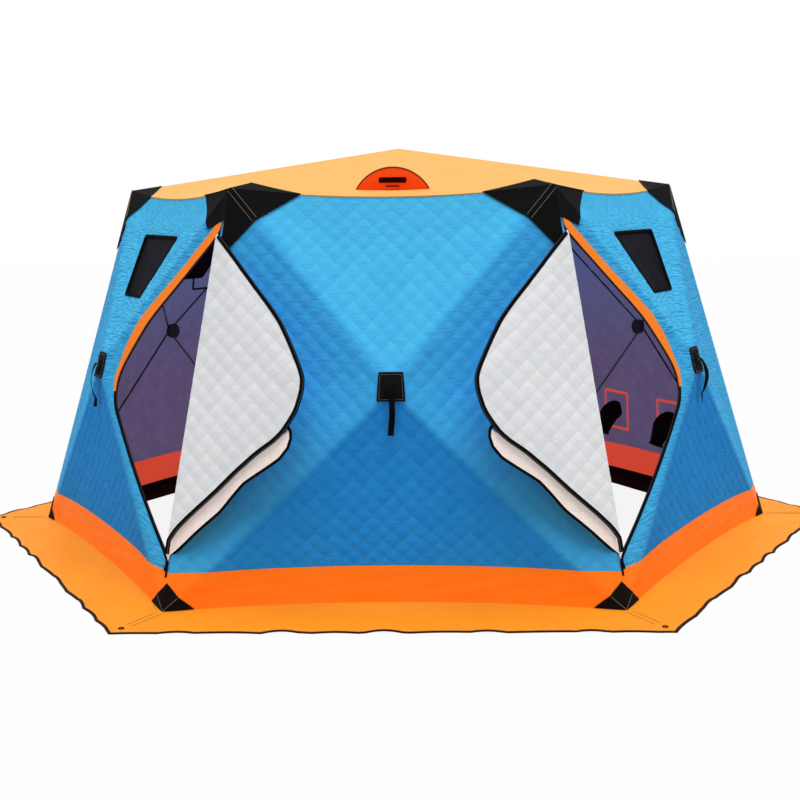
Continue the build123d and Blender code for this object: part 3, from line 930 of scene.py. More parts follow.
def mapped_sheet(name, counts, place, size, pointed=False):
    """A grid laid over a form: place gives a point for each pair of shares from 0 to 1."""
    deselect()
    bpy.ops.mesh.primitive_grid_add(x_subdivisions=counts[0], y_subdivisions=counts[1], size=1,
                                    location=(0, 0, 0))
    piece = bpy.context.object
    piece.name = name
    shares = points_of(piece)[:, :2] + 0.5
    set_points(piece, place(shares[:, 0], shares[:, 1]))
    set_cloth(piece, shares * np.array(size))
    if pointed:
        weld(piece, even=False)
    return piece


def ribbon(name, path, side, up, section, material, cap=True):
    """A closed tape or roll along a path: its section is in metres across and over the path."""
    path, side, up = (np.asarray(rows, dtype=float) for rows in (path, side, up))
    section = np.array(list(section) + [section[0]], dtype=float)
    along_path = np.concatenate([[0], np.cumsum(np.linalg.norm(np.diff(path, axis=0), axis=1))])
    round_section = np.concatenate([[0], np.cumsum(np.linalg.norm(np.diff(section, axis=0), axis=1))])
    deselect()
    bpy.ops.mesh.primitive_grid_add(x_subdivisions=len(path) - 1, y_subdivisions=len(section) - 1, size=1,
                                    location=(0, 0, 0))
    piece = bpy.context.object
    piece.name = name
    shares = points_of(piece)[:, :2] + 0.5
    step = np.rint(shares[:, 0] * (len(path) - 1)).astype(int)
    turn = np.rint(shares[:, 1] * (len(section) - 1)).astype(int)
    set_points(piece, path[step] + side[step] * section[turn, 0, None] + up[step] * section[turn, 1, None])
    set_cloth(piece, np.stack([along_path[step], round_section[turn]], axis=1))
    weld(piece, cap=cap)
    dress(piece, [material])
    smooth(piece, 40)
    return piece


def flat_section(near, far, low, high):
    """The section of a tape between two places across the path and two heights."""
    return [(near, low), (far, low), (far, high), (near, high)]


def round_section(radius, count=8, across=0.0, height=0.0):
    return [(across + radius * cos(2 * pi * k / count), height + radius * sin(2 * pi * k / count))
            for k in range(count)]


# Places on the taut form

def on_wall(y, z, height=0.0):
    """Points over the outer face of the generic wall, and the way out there."""
    y = np.asarray(y, dtype=float)
    z = np.asarray(z, dtype=float)
    step = 0.006
    slope_y = (soft_wall_reach(y + step, z) - soft_wall_reach(y - step, z)) / (2 * step)
    slope_z = (soft_wall_reach(y, z + step) - soft_wall_reach(y, z - step)) / (2 * step)
    outward = unit(np.stack([np.ones_like(y), -slope_y, -slope_z], axis=-1))
    place = np.stack([soft_wall_reach(y, z), y, z], axis=-1)
    return place + outward * np.asarray(height)[..., None], outward


def path_on_wall(flat, height=0.0):
    """Points, sideways directions and outward directions along a flat path on the generic wall."""
    flat = np.asarray(flat, dtype=float)
    place, outward = on_wall(flat[:, 0], flat[:, 1], height)
    forward = unit(np.gradient(place, axis=0))
    return place, unit(np.cross(outward, forward)), outward


def lifted(rows, height):
    """Points of a layer that lies higher than the outer face of the walls."""
    centre = np.array(form_centre)
    return centre + (rows - centre) * (1 + np.asarray(height)[..., None] / apothem)


def roof_level(x, y):
    """Height of the taut roof panel over the plan."""
    share = np.clip(x / head_right.x, 1e-6, None)
    aside = np.clip(y / head_right.y / share, -1.2, 1.2)
    rim = wall_height - seam_sag * (1 - aside**2)
    return peak_height + share * (rim - peak_height)


def spun(rows, degrees):
    """Rows of points turned about Z."""
    turn = radians(degrees)
    x = rows[:, 0] * cos(turn) - rows[:, 1] * sin(turn)
    y = rows[:, 0] * sin(turn) + rows[:, 1] * cos(turn)
    return np.stack([x, y, rows[:, 2]], axis=1)


def settle(rows, on_roof):
    """Puts points near the corner that faces +X onto the walls or the roof panels beside it."""
    result = rows.copy()
    for side in (-30, 30):
        mine = rows[:, 1] < 0 if side < 0 else rows[:, 1] >= 0
        local = spun(rows[mine], -side)
        if on_roof:
            local[:, 2] = roof_level(local[:, 0], local[:, 1])
        else:
            local[:, 0] = soft_wall_reach(local[:, 1], local[:, 2])
        result[mine] = spun(local, side)
    return result


def half_width(z):
    """Half the width of the generic wall at a height."""
    return foot_right.y + (head_right.y - foot_right.y) * z / wall_height


def door_facet():
    """Origin, up, out and outward directions of the right-hand facet, at its corner edge."""
    up = (head_right - foot_right).normalized()
    outward = (foot_right - hub).cross(head_right - hub).normalized()
    return foot_right, up, outward.cross(up), outward


facet_origin, facet_up, facet_out, facet_outward = door_facet()


def on_facet(up, out, height=0.0):
    """A point given by its place in the door's facet and its height over it."""
    return facet_origin + facet_up * up + facet_out * out + facet_outward * height


def disc(start, end, bulge):
    """Centre and radius of the large disc whose rim bulges out from the line between two points."""
    chord = Vector(end) - Vector(start)
    half = chord.length / 2
    radius = (half**2 + bulge**2) / (2 * bulge)
    inward = Vector((chord.y, -chord.x)).normalized()
    return (Vector(start) + Vector(end)) / 2 + inward * (radius - bulge), radius


def arc(centre, radius, start, end, count):
    """Points of the arc of a circle between the directions of two points, the short way round."""
    first = atan2(start.y - centre.y, start.x - centre.x)
    turn = (atan2(end.y - centre.y, end.x - centre.x) - first + pi) % (2 * pi) - pi
    return [centre + radius * Vector((cos(first + turn * k / count), sin(first + turn * k / count)))
            for k in range(count + 1)]


def circle_at(centre, radius, out, near):
    """The point of a circle at a distance out from the corner edge, the one nearer to a place up it."""
    half = sqrt(radius**2 - (out - centre.y) ** 2)
    ups = (centre.x - half, centre.x + half)
    return Vector((min(ups, key=lambda up: abs(up - near)), out))


def leaf(grow=0.0):
    """Points of the leaf-shaped opening from its foot round its tip to its head, grown or shrunk."""
    foot_point = (door_foot, door_edge)
    tip = (door_tip_up, door_tip_out)
    head_point = (door_head, door_edge)
    low_centre, low_radius = disc(foot_point, tip, door_lower_bulge)
    high_centre, high_radius = disc(tip, head_point, door_upper_bulge)
    low_radius += grow
    high_radius += grow
    tip_radius = door_tip_radius + grow
    gap = high_centre - low_centre
    low_reach = low_radius - tip_radius
    high_reach = high_radius - tip_radius
    along_gap = (gap.length**2 + low_reach**2 - high_reach**2) / (2 * gap.length)
    aside = sqrt(low_reach**2 - along_gap**2)
    ways = [low_centre + gap.normalized() * along_gap + sign * aside * Vector((-gap.y, gap.x)).normalized()
            for sign in (-1, 1)]
    tip_centre = max(ways, key=lambda point: point.y)
    low_touch = low_centre + (tip_centre - low_centre).normalized() * low_radius
    high_touch = high_centre + (tip_centre - high_centre).normalized() * high_radius
    heel = circle_at(low_centre, low_radius, door_edge - grow, door_foot)
    top = circle_at(high_centre, high_radius, door_edge - grow, door_head)
    return (arc(low_centre, low_radius, heel, low_touch, leaf_arc_steps)
            + arc(tip_centre, tip_radius, low_touch, high_touch, leaf_arc_steps)[1:]
            + arc(high_centre, high_radius, high_touch, top, leaf_arc_steps)[1:])


def warp_rows(piece, seam_share=0.16, foot_share=0.30):
    """Draws the head of the sheet down to the sagging seam and its foot up to the raised seam."""
    rows = points_of(piece)
    y, z = rows[:, 1], rows[:, 2]
    near_head = np.clip((z - (1 - seam_share) * wall_height) / (seam_share * wall_height), 0, 1)
    near_foot = np.clip(1 - (z - band_height) / foot_share, 0, 1)
    sag = sag_of_seam(np.clip(y, head_left.y, head_right.y))
    rows[:, 2] = z - sag * near_head**1.5 + rise_of_foot(y) * near_foot**1.5
    set_points(piece, rows)


# Walls: quilted sheets with their openings

def blank_wall():
    """The flat sheet of a wall above its foot band, on the lattice of its quilting."""
    piece = flat_sheet("wall blank", 2.96, quilt_cell / quilt_steps, pi / 4)
    diagonal = quilt_cell * sqrt(2)
    piece.data.transform(Matrix.Translation((0, 0, round(wall_height / 2 / diagonal) * diagonal)))
    edit(piece)
    outline = [(foot_left.y, 0), (foot_right.y, 0), (head_right.y, wall_height), (head_left.y, wall_height)]
    for k in (1, 2, 3):
        cut_side_off(outline[k], outline[(k + 1) % 4])
    cut_side_off((foot_left.y, band_height), (foot_right.y, band_height))
    leave_edit()
    return piece


def cut_leaf(grow, cuts):
    """The leaf outline of the door, cut back towards the hinge by the amounts given for heights along it."""
    ups, amounts = np.array(cuts).T
    return [Vector((point.x, max(point.y - float(np.interp(point.x, ups, amounts)), door_edge - grow)))
            for point in leaf(grow)]


def flat_places(outline):
    """Points of the door's facet in the flat coordinates of the wall."""
    return [(on_facet(*point).y, on_facet(*point).z) for point in outline]


def window_outline(grow=0.0):
    """The flat outline of a window, grown or shrunk."""
    facet_up_share = 0.8789
    head = wall_height - seam_sag - window_drop * facet_up_share + grow
    sill = wall_height - seam_sag - (window_drop + window_depth) * facet_up_share - grow
    return [(-window_head_half - grow, head), (-window_sill_half - grow, sill),
            (window_sill_half + grow, sill), (window_head_half + grow, head)]


def inside_edges(piece, rows, run=quilt_rim_run):
    """From 0 on the open edges of a flat sheet to 1 a little way in."""
    rim = rows[open_edge_points(piece)][:, 1:]
    gap = np.array([np.linalg.norm(rim - row, axis=1).min() for row in rows[:, 1:]])
    return np.clip(gap / run, 0, 1)


def depth_in_facets(y, z):
    """How far flat points lie inside the upper and the lower facet of the wall, less than 0 outside them."""
    across = np.abs(y)
    rise = z - hub_height
    upper = (head_right.y * rise - across * (wall_height - hub_height)) / hypot(head_right.y,
                                                                                 wall_height - hub_height)
    lower = (-foot_right.y * rise - across * hub_height) / hypot(foot_right.y, hub_height)
    return upper, lower


def crinkles(y, z, window):
    """How crinkled the cloth is: most beside the upper ribs and round a window."""
    upper, lower = depth_in_facets(y, z)
    clear_of_hub = 0.15
    near_rib = np.clip(1 - np.abs(upper) / crinkle_rib_run, 0, 1) * (z > hub_height + clear_of_hub)
    if window:
        in_lower_facet = 0.3
        elsewhere = 0.75
        at_rib = 0.4
        return np.clip(np.where(lower > 0, in_lower_facet, elsewhere) + at_rib * near_rib, 0, 1)
    everywhere = 0.05
    at_rib = 0.12
    return np.clip(everywhere + at_rib * near_rib, 0, 1)


def note(piece, name, amounts):
    layer = piece.data.attributes.new(name, "FLOAT", "POINT")
    layer.data.foreach_set("value", np.clip(amounts, 0, 1))


def quilted_wall(name, window, door):
    """One wall: its outline, its openings, its form and its puffed quilting on both sides."""
    piece = blank_wall()
    piece.name = name
    pattern = points_of(piece)[:, 1:].copy()
    set_cloth(piece, pattern)
    warp_rows(piece)
    if window:
        trim(piece, window_outline(), keep_inside=False)
    if door:
        trim(piece, flat_places(cut_leaf(0.0, head_cuts)), keep_inside=False)
    rows = points_of(piece)
    below_seam = wall_height - sag_of_seam(np.clip(rows[:, 1], head_left.y, head_right.y)) - rows[:, 2]
    taut = np.clip((below_seam - taut_head_drop) / taut_head_run, 0, 1)
    quilt = quilt_height(flat_of_cloth(piece)) * inside_edges(piece, rows) * (0.35 + 0.65 * taut)
    crinkle = crinkles(rows[:, 1], rows[:, 2], window) * (0.1 + 0.9 * taut)
    loose = crinkle * inside_edges(piece, rows, fold_run)
    folds = wave(rows[:, 1:] * np.array([2.2, 4.6]), 4) + 0.6 * wave(rows[:, 1:] * np.array([6.5, 3.4]), 7)
    height = quilt * quilt_puff - quilt_puff * quilt_sink + loose * folds * fold_height
    set_points(piece, on_wall(rows[:, 1], rows[:, 2], height)[0])
    upper, lower = depth_in_facets(rows[:, 1], rows[:, 2])
    note(piece, "crinkle", crinkle)
    # Painted light: the share of the paler colour is highest on the upper facets, middling on the side facets
    # (more on window walls) and lowest on the lower facets, as painted shade
    aside = 0.72 if window else 0.62
    brighter = (1 - aside) * np.clip(upper / 0.04, 0, 1)
    darker = aside * np.clip(lower / 0.03, 0, 1)
    note(piece, "painted_light_share", aside + brighter - darker)
    full = wall_thickness + quilt_puff
    shares = (wall_thickness - quilt_puff * 0.6 + quilt * (quilt_puff + lining_puff)) / full
    give_thickness(piece, full, [blue_quilt, inner_quilt], shares=np.clip(shares, 0, 1))
    return piece


def flat_of_cloth(piece):
    """The cloth coordinates of each point."""
    flat = np.empty(len(piece.data.loops) * 2)
    piece.data.uv_layers["cloth"].data.foreach_get("uv", flat)
    result = np.zeros((len(piece.data.vertices), 2))
    result[loop_points(piece)] = flat.reshape(-1, 2)
    return result


# Making of the pieces, most of them in the generic wall's frame

def remove(pieces):
    deselect()
    for piece in pieces:
        piece.select_set(True)
    bpy.ops.object.delete()


def resample(path, pitch):
    """Points at an even pitch along a path."""
    path = np.asarray(path, dtype=float)
    run = np.concatenate([[0], np.cumsum(np.linalg.norm(np.diff(path, axis=0), axis=1))])
    count = max(int(round(run[-1] / pitch)), 2)
    at = np.linspace(0, run[-1], count + 1)
    return np.stack([np.interp(at, run, path[:, k]) for k in range(path.shape[1])], axis=1)


def rounded(corners, radius, count=5):
    """A closed flat outline with its corners rounded."""
    corners = np.asarray(corners, dtype=float)
    points = []
    for k, corner in enumerate(corners):
        before = unit(corners[k - 1] - corner) * radius
        after = unit(corners[(k + 1) % len(corners)] - corner) * radius
        for step in range(count + 1):
            share = step / count
            points.append(corner + before * (1 - share) ** 2 + after * share**2)
    return np.array(points)


def away_from(middle, path, side):
    """The sideways directions, turned to point away from a place."""
    sign = np.sign(((path - np.asarray(middle)) * side).sum(axis=1).mean())
    return side * sign


def wave(rows, seed):
    """A soft unevenness of cloth, about 1 high, from a few crossed swells."""
    total = 0
    for k in range(4):
        turn = seed * 1.7 + k * 2.1
        way = rows[:, 0] * cos(turn) + rows[:, 1] * sin(turn)
        total = total + np.sin(way * (7 + 5 * k) + seed * (k + 1))
    return total / 2.5


def zip_teeth(name, path, side, up, height):
    """The toothed edge of a zip along a path, each tooth a short bar across it."""
    steps = np.arange(len(path))
    grown = np.where(steps % 2 == 0, 1.0, tooth_gap_share)[:, None]
    section = flat_section(-tooth_half_width, tooth_half_width, height - tooth_half_height,
                           height + tooth_half_height)
    return ribbon(name, path, side * grown, up, section, zip_finish)


def stitching(name, path, side, up, across=0.0, height=thread_half_height, material=pale_thread):
    """A row of thread that dips under the cloth between its stitches."""
    dip = np.where(np.arange(len(path)) % 3 == 0, -thread_dip, height)[:, None]
    section = flat_section(across - thread_width / 2, across + thread_width / 2, -thread_half_height,
                           thread_half_height)
    return ribbon(name, path + up * dip, side, up, section, material, cap=False)


def foot_band():
    """The smooth band round the foot of a wall, a little uneven."""
    unevenness = 0.0022
    stand_off = 0.0012

    def place(u, v):
        low_y = (2 * u - 1) * foot_right.y
        high_y = (2 * u - 1) * half_width(band_height)
        y = low_y + (high_y - low_y) * v
        low = rise_of_foot(low_y)
        z = low + (band_height + rise_of_foot(high_y) - low) * v
        flat = np.stack([y * 1.6, z * 4.5], axis=1)
        return on_wall(y, z, wave(flat, 3) * unevenness * np.sin(pi * v) + stand_off)[0]

    piece = mapped_sheet("band", (110, 12), place, (2.08, 0.17))
    give_thickness(piece, band_thickness, [band_cloth, band_lining])
    return piece


def skirt(seed):
    """One side of the skirt, lying on the ground and leaning up to the wall, and the tape of its hem."""
    lie_height = 0.0045
    ripple_height = 0.0065
    curl_height = 0.013
    scallop_depth = 0.012
    fold_radius = base_radius + skirt_lean_share * (skirt_radius - base_radius)
    lying = 1 - skirt_lean_share

    def place(u, v):
        share = 2 * u - 1
        flat_part = np.clip(v / lying, 0, 1)
        rising = np.clip((v - lying) / skirt_lean_share, 0, 1)
        radius = (skirt_radius + (fold_radius - skirt_radius) * flat_part
                  + (base_radius - fold_radius) * rising)
        y = share * radius * sin(half_turn)
        inner = 1 - np.abs(share) ** 10
        hem = (1 - v) ** 4
        scallop = np.abs(np.sin(share * 13 + seed + 1.3 * np.sin(share * 5 + seed)))
        x = radius * cos(half_turn) - hem * inner * scallop_depth * scallop
        ripple = np.clip(wave(np.stack([y * 0.9, v * 0.55], axis=1), seed), 0, 2)
        lift = inner * np.sin(pi * np.clip(v / 0.98, 0, 1)) * ripple_height * ripple
        curl = inner * hem * curl_height * np.clip(np.sin(share * 17 + 2 * seed) - 0.45, 0, 1)
        rise = rising**1.4 * rise_of_foot(share * foot_right.y)
        return np.stack([x, y, lie_height + lift + curl + rise], axis=1)

    piece = mapped_sheet("skirt", (150, 26), place, (2.42, 0.36))
    u = np.linspace(0, 1, 261)
    edge = place(u, np.zeros_like(u))
    up = repeated((0, 0, 1), len(edge))
    tape = ribbon("hem", edge, beside(edge, up), up, flat_section(-0.003, 0.011, -0.0040, 0.0012), hem_tape)
    give_thickness(piece, skirt_thickness, [skirt_cloth])
    return piece, joined([tape] + skirt_corner(), "hem")


def skirt_corner():
    """The double seam out over the right-hand corner of a skirt panel, and the eyelet at its end."""
    seam_height = 0.0052
    eyelet_height = 0.0060
    eyelet_inset = 0.075
    radius = np.linspace(base_radius + 0.025, skirt_radius - 0.125, 44)
    pieces = []
    for across in (-0.017, 0.017):
        path = np.stack([radius, np.full_like(radius, across), np.full_like(radius, seam_height)], axis=1)
        side, up = (repeated(way, len(path)) for way in ((0, 1, 0), (0, 0, 1)))
        pieces.append(stitching("corner seam", path, side, up, material=brown_thread))
    deselect()
    bpy.ops.mesh.primitive_torus_add(location=(0, 0, 0), major_radius=0.0105, minor_radius=0.0032,
                                     major_segments=28, minor_segments=8)
    eyelet = bpy.context.object
    eyelet.data.transform(Matrix.Translation((skirt_radius - eyelet_inset, 0, eyelet_height)))
    set_cloth(eyelet, points_of(eyelet)[:, :2])
    dress(eyelet, [hem_tape])
    smooth(eyelet)
    pieces.append(eyelet)
    for piece in pieces:
        piece.data.transform(Matrix.Rotation(half_turn, 4, "Z"))
    return pieces


def roof_sheet():
    """One panel of the roof, from its sagging rim up to the peak, dipping a little between them."""
    unevenness = 0.003
    middle_dip = 0.012
    stand_off = 0.002
    rim_run = sqrt(head_right.x**2 + (peak_height - wall_height) ** 2)

    def place(u, v):
        share = 2 * u - 1
        rim = np.stack([np.full_like(u, head_right.x), share * head_right.y,
                        wall_height - seam_sag * (1 - share**2)], axis=1)
        point = rim + (np.array(peak) - rim) * v[:, None]
        swells = wave(np.stack([point[:, 1] * 1.3, v * 1.1], axis=1), 5)
        lift = unevenness * swells * np.sin(pi * v) * (1 - share**4)
        dip = middle_dip * np.sin(pi * np.clip(v, 0, 1)) * (1 - share**2)
        point[:, 2] += lift - dip + stand_off
        return point

    piece = mapped_sheet("roof", (60, 46), place, (top_radius, rim_run), pointed=True)
    give_thickness(piece, roof_thickness, [roof_cloth, inner_quilt])
    return piece


def patch_of(triangles, kinds, points, height, size):
    """A black patch laid over the soft form from the triangles between its points."""
    leaves = []
    for triangle, on_roof in zip(triangles, kinds):
        a, b, c = (np.array(points[i]) for i in triangle)
        longest = max(np.linalg.norm(b - a), np.linalg.norm(c - b), np.linalg.norm(c - a))
        count = max(int(longest / patch_pitch), 3)

        def place(u, v, a=a, b=b, c=c, on_roof=on_roof):
            flat = a + (1 - v)[:, None] * ((b - a) + u[:, None] * (c - b))
            return lifted(settle(flat, on_roof), height)

        leaves.append(mapped_sheet("patch leaf", (count, count), place, size))
    piece = joined(leaves, "patch")
    weld(piece, patch_weld_distance)
    rows = points_of(piece)
    outside = ((rows - np.array(form_centre)) * normals_of(piece)).sum()
    if outside < 0:
        piece.data.flip_normals()
    give_thickness(piece, patch_thickness, [black_cloth], outwards=True)
    return piece


def near_corner(start, end, shares, on_roof, height):
    """A path between two points near the corner that faces +X, laid over the form, its sides and its ups."""
    path = lifted(settle(rows_between(start, end, shares), on_roof), height)
    up = unit(path - np.array(form_centre))
    return path, beside(path, up), up


def along(start, end, distance):
    """The point at a distance from one point towards another."""
    return start + (end - start).normalized() * distance


def corner_frame(point, side):
    """A point of the generic wall beside the corner that faces +X."""
    return Matrix.Rotation(radians(side * 30), 3, "Z") @ point


def seam_place(share):
    """A point of the sagging head seam, from share -1 at one corner to 1 at the other."""
    return Vector((head_right.x, share * head_right.y, wall_height - seam_sag * (1 - share**2)))


def foot_place(share):
    """A point of the raised foot seam, from share -1 at one corner to 1 at the other."""
    return Vector((foot_right.x, share * foot_right.y, foot_rise * (1 - share**2)))


def top_patch(beside_door):
    """The patch over the top corner that faces +X, cut back on the left where a door is beside it."""
    head = Vector((top_radius, 0, wall_height))
    base = Vector((base_radius, 0, 0))
    seam_share = 1 - 2 * top_patch_seam_run / top_radius
    points = [
        head,
        along(head, peak, top_patch_roof_run),
        corner_frame(seam_place(seam_share), -1),
        along(head, corner_frame(hub, -1), top_patch_rib_run),
        along(head, base, top_patch_edge_run),
        along(head, corner_frame(hub, 1), top_patch_rib_run),
        corner_frame(seam_place(-seam_share), 1),
        corner_frame(on_facet(top_patch_guard_up, top_patch_guard_out), -1),
        along(head, base, top_patch_door_edge_run),
    ]
    roof_leaves = [(0, 1, 2), (0, 6, 1)]
    if beside_door:
        wall_leaves = [(0, 2, 3), (0, 3, 7), (0, 7, 8), (0, 8, 5), (8, 4, 5), (0, 5, 6)]
    else:
        wall_leaves = [(0, 2, 3), (0, 3, 4), (0, 4, 5), (0, 5, 6)]
    kinds = [True] * len(roof_leaves) + [False] * len(wall_leaves)
    piece = patch_of(roof_leaves + wall_leaves, kinds, points, top_patch_lift, (0.33, 0.33))
    pieces = [piece]
    for end_point in (points[5],) if beside_door else (points[3], points[5]):
        ways = near_corner(points[0], end_point, np.linspace(0.03, 0.97, 70), False, top_stitch_lift)
        pieces += [stitching("stitches", *ways, across) for across in (-0.013, 0.013)]
    for far_point in (points[2], points[6]):
        ways = near_corner(points[1], far_point, np.linspace(0, 1, 24), True, roof_piping_lift)
        pieces.append(ribbon("piping", *ways, round_section(0.0032), hem_tape))
    return joined(pieces, "top patch")


def foot_patch():
    """The patch over the foot corner that faces +X, with a row of stitches to each of its tips."""
    base = Vector((base_radius, 0, 0))
    head = Vector((top_radius, 0, wall_height))
    before = corner_frame(hub, -1)
    after = corner_frame(hub, 1)
    foot_share = 1 - 2 * foot_patch_seam_run / base_radius
    points = [
        along(base, head, foot_patch_stand_off),
        along(base, head, foot_patch_edge_run),
        along(base, before, foot_patch_rib_run),
        along(corner_frame(foot_place(foot_share), -1), before, foot_patch_stand_off),
        along(base, before, foot_patch_stand_off),
        along(base, after, foot_patch_stand_off),
        along(corner_frame(foot_place(-foot_share), 1), after, foot_patch_stand_off),
        along(base, after, foot_patch_rib_run),
    ]
    triangles = [(0, 1, 2), (0, 2, 4), (4, 2, 3), (0, 5, 7), (0, 7, 1), (5, 6, 7)]
    piece = patch_of(triangles, [False] * len(triangles), points, foot_patch_lift, (0.14, 0.14))
    seams = [stitching("stitches", *near_corner(points[0], tip, np.linspace(0.04, 0.96, 36), False,
                                                foot_stitch_lift))
             for tip in (points[2], points[7])]
    return joined([piece] + seams, "foot patch")


def hub_patch_and_strap():
    """The square patch on the tip of a wall, stitched round, with the webbing strap that hangs from it."""
    reach = [along(hub, corner, hub_patch_reach) for corner in (head_right, head_left, foot_left, foot_right)]
    half = reach[0].y
    low_half = abs(reach[2].y)
    top = reach[0].z
    bottom = reach[2].z

    def place(u, v):
        z = bottom + (top - bottom) * v
        limit = low_half + (abs(half) - low_half) * v
        return on_wall((2 * u - 1) * limit, z, np.full_like(u, hub_patch_lift))[0]

    piece = mapped_sheet("hub patch", (16, 16), place, (2 * half, top - bottom))
    rows = []
    for inset in (0.10, 0.86):
        ring = [(-inset, -inset), (inset, -inset), (inset, inset), (-inset, inset)]
        flat = resample(np.array(ring + ring[:1]), 0.05) / 2 + 0.5
        path = place(flat[:, 0], flat[:, 1])
        outward = repeated((1, 0, 0), len(path))
        rows.append(stitching("stitches", path, beside(path, outward), outward, height=0.0042))
    give_thickness(piece, patch_thickness, [black_cloth], outwards=True)
    patch = joined([piece] + rows, "hub patch")

    down = (foot_place(0) - hub).normalized()
    out = Vector((0, 1, 0)).cross(down) * -1
    start = 0.012
    stand_off = 0.010
    bow = 0.030
    bow_rate = 1.25
    kick = 0.014
    kick_start = 0.55
    sway = 0.006
    twist = 0.35
    run = np.linspace(-start, strap_length - start, 40)
    swell = stand_off + bow * np.sin(pi * np.clip((run + start) / strap_length * bow_rate, 0, 1)) ** 0.8
    swell += kick * np.clip(run / strap_length - kick_start, 0, 1)
    path = np.array([hub + down * a for a in run]) + np.array(out) * swell[:, None]
    path[:, 1] += sway * np.sin(run * 17)
    up = repeated(out, len(path))
    side = repeated((0, 1, 0), len(path)) + twist * np.sin(run * 20)[:, None] * up
    section = flat_section(-strap_width / 2, strap_width / 2, -0.0014, 0.0014)
    strap = ribbon("strap", path, unit(side), up, section, black_tape)
    return patch, strap


def hinge_turn():
    """The turn that opens the left-hand door flap of the generic wall to its place at rest."""
    point = on_facet(0, door_edge, hinge_bead_radius + seam_gap)
    return (Matrix.Translation(point) @ Matrix.Rotation(door_rest_angle, 4, facet_up)
            @ Matrix.Translation(-point))


def bound_zip(name, tape_points, zip_points, tape_section, zip_height):
    """A tape along a flat path of the wall, with the teeth of its zip, as two pieces."""
    path, side, up = path_on_wall(resample(tape_points, tape_pitch))
    side = away_from(path.mean(axis=0), path, side)
    tape = ribbon(f"{name} tape", path, side, up, tape_section, black_tape)
    fine, side, up = path_on_wall(resample(zip_points, zip_pitch))
    side = away_from(fine.mean(axis=0), fine, side)
    return [tape, zip_teeth(f"{name} zip", fine, side, up, zip_height)]


def door_binding():
    """The tape and the zip round the opening, with the sliders."""
    tape_points, zip_points = (flat_places(cut_leaf(-inset, head_cuts)) for inset in (0.0, zip_inset))
    section = flat_section(-0.0012, 0.0085, -0.0115, 0.0024)
    pieces = bound_zip("door", tape_points, zip_points, section, -0.004)
    return joined(pieces + zip_pulls(), "door binding")


def zip_pulls():
    """The two sliders at the foot of the zip, each with its tab."""
    outer_tab = ((0.222, 0.032), (0.184, 0.040))
    inner_tab = ((0.219, 0.022), (0.156, 0.020))
    slider_size = (0.007, 0.012, 0.017)
    pieces = []
    for start, end in (outer_tab, inner_tab):
        flat = flat_places([Vector(start), Vector(end)])
        path, side, up = path_on_wall(resample(flat, 0.006), 0.004)
        section = flat_section(-0.0065, 0.0065, -0.0012, 0.0016)
        pieces.append(ribbon("zip tab", path, side, up, section, black_tape))
        deselect()
        bpy.ops.mesh.primitive_cube_add(size=1, location=(0, 0, 0))
        slider = bpy.context.object
        slider.data.transform(Matrix.Diagonal((*slider_size, 1)))
        slider.data.transform(Matrix.Translation(Vector(path[0])))
        modifier = slider.modifiers.new("soft edges", "BEVEL")
        modifier.width = 0.002
        modifier.segments = 2
        apply_modifier(slider, modifier)
        set_cloth(slider, points_of(slider)[:, 1:])
        dress(slider, [black_tape])
        pieces.append(slider)
    return pieces


def flap_outline(grow):
    """The outline of the flap in its facet: the leaf, cut back above the snow guard and below its head."""
    return cut_leaf(grow, flap_cuts + head_cuts)


def flap_cloth():
    """The quilted flap, in its closed place."""
    piece = blank_wall()
    set_cloth(piece, points_of(piece)[:, 1:] * np.array(flap_quilt_stretch))
    warp_rows(piece)
    trim(piece, flat_places(flap_outline(-flap_inset)), keep_inside=True)
    rows = points_of(piece)
    quilt = quilt_height(flat_of_cloth(piece)) * inside_edges(piece, rows)
    puff = 0.003
    sink = 0.002
    full_puff = 0.0062
    set_points(piece, on_wall(rows[:, 1], rows[:, 2], quilt * puff - sink)[0])
    # The flap gets an even share of the painted highlight colour
    for name, amount in (("crinkle", 0.25), ("painted_light_share", 0.42)):
        note(piece, name, np.full(len(rows), amount))
    shares = np.clip((flap_edge_thickness + quilt * full_puff) / flap_thickness, 0, 1)
    give_thickness(piece, flap_thickness, [blue_quilt, lining_quilt], shares=shares)
    return piece


def flap_roll():
    """The rolled edge that the flap hangs by, and the web between them."""
    end_gap = 0.030
    outline = leaf(-flap_inset)
    heel = outline[0].x
    ups = heel + end_gap + (outline[-1].x - heel - 2 * end_gap) * np.linspace(0, 1, 60)
    centre = np.array([on_facet(up, door_edge, hinge_bead_radius + seam_gap) for up in ups])
    side = repeated(facet_out, len(ups))
    up = repeated(facet_outward, len(ups))
    roll = ribbon("flap roll", centre, side, up, round_section(hinge_bead_radius * 0.92, 12), lining_quilt)
    web_section = [(0.0, -0.004), (0.016, -0.012), (0.016, -0.005), (0.0, 0.004)]
    web = ribbon("flap web", centre, side, up, web_section, lining_quilt)
    return joined([roll, web], "flap roll")


def bound_edge():
    """The free edge of the flap, clear of the hinge at its foot and at its head."""
    outline = flap_outline(-binding_inset)
    lower = [Vector((point.x, max(point.y, door_edge + hinge_room_at_foot))) for point in outline
             if bound_edge_start < point.x < door_tip_up]
    upper = [point for point in outline
             if point.x >= door_tip_up and point.y > door_edge + hinge_room_at_head]
    return flat_places(lower + upper)


def flap_tape():
    """The tape and the zip round the free edge of the flap."""
    pieces = bound_zip("flap", bound_edge(), bound_edge(), flat_section(-0.015, 0.0, -0.0130, 0.0020), -0.010)
    return joined(pieces, "flap binding")


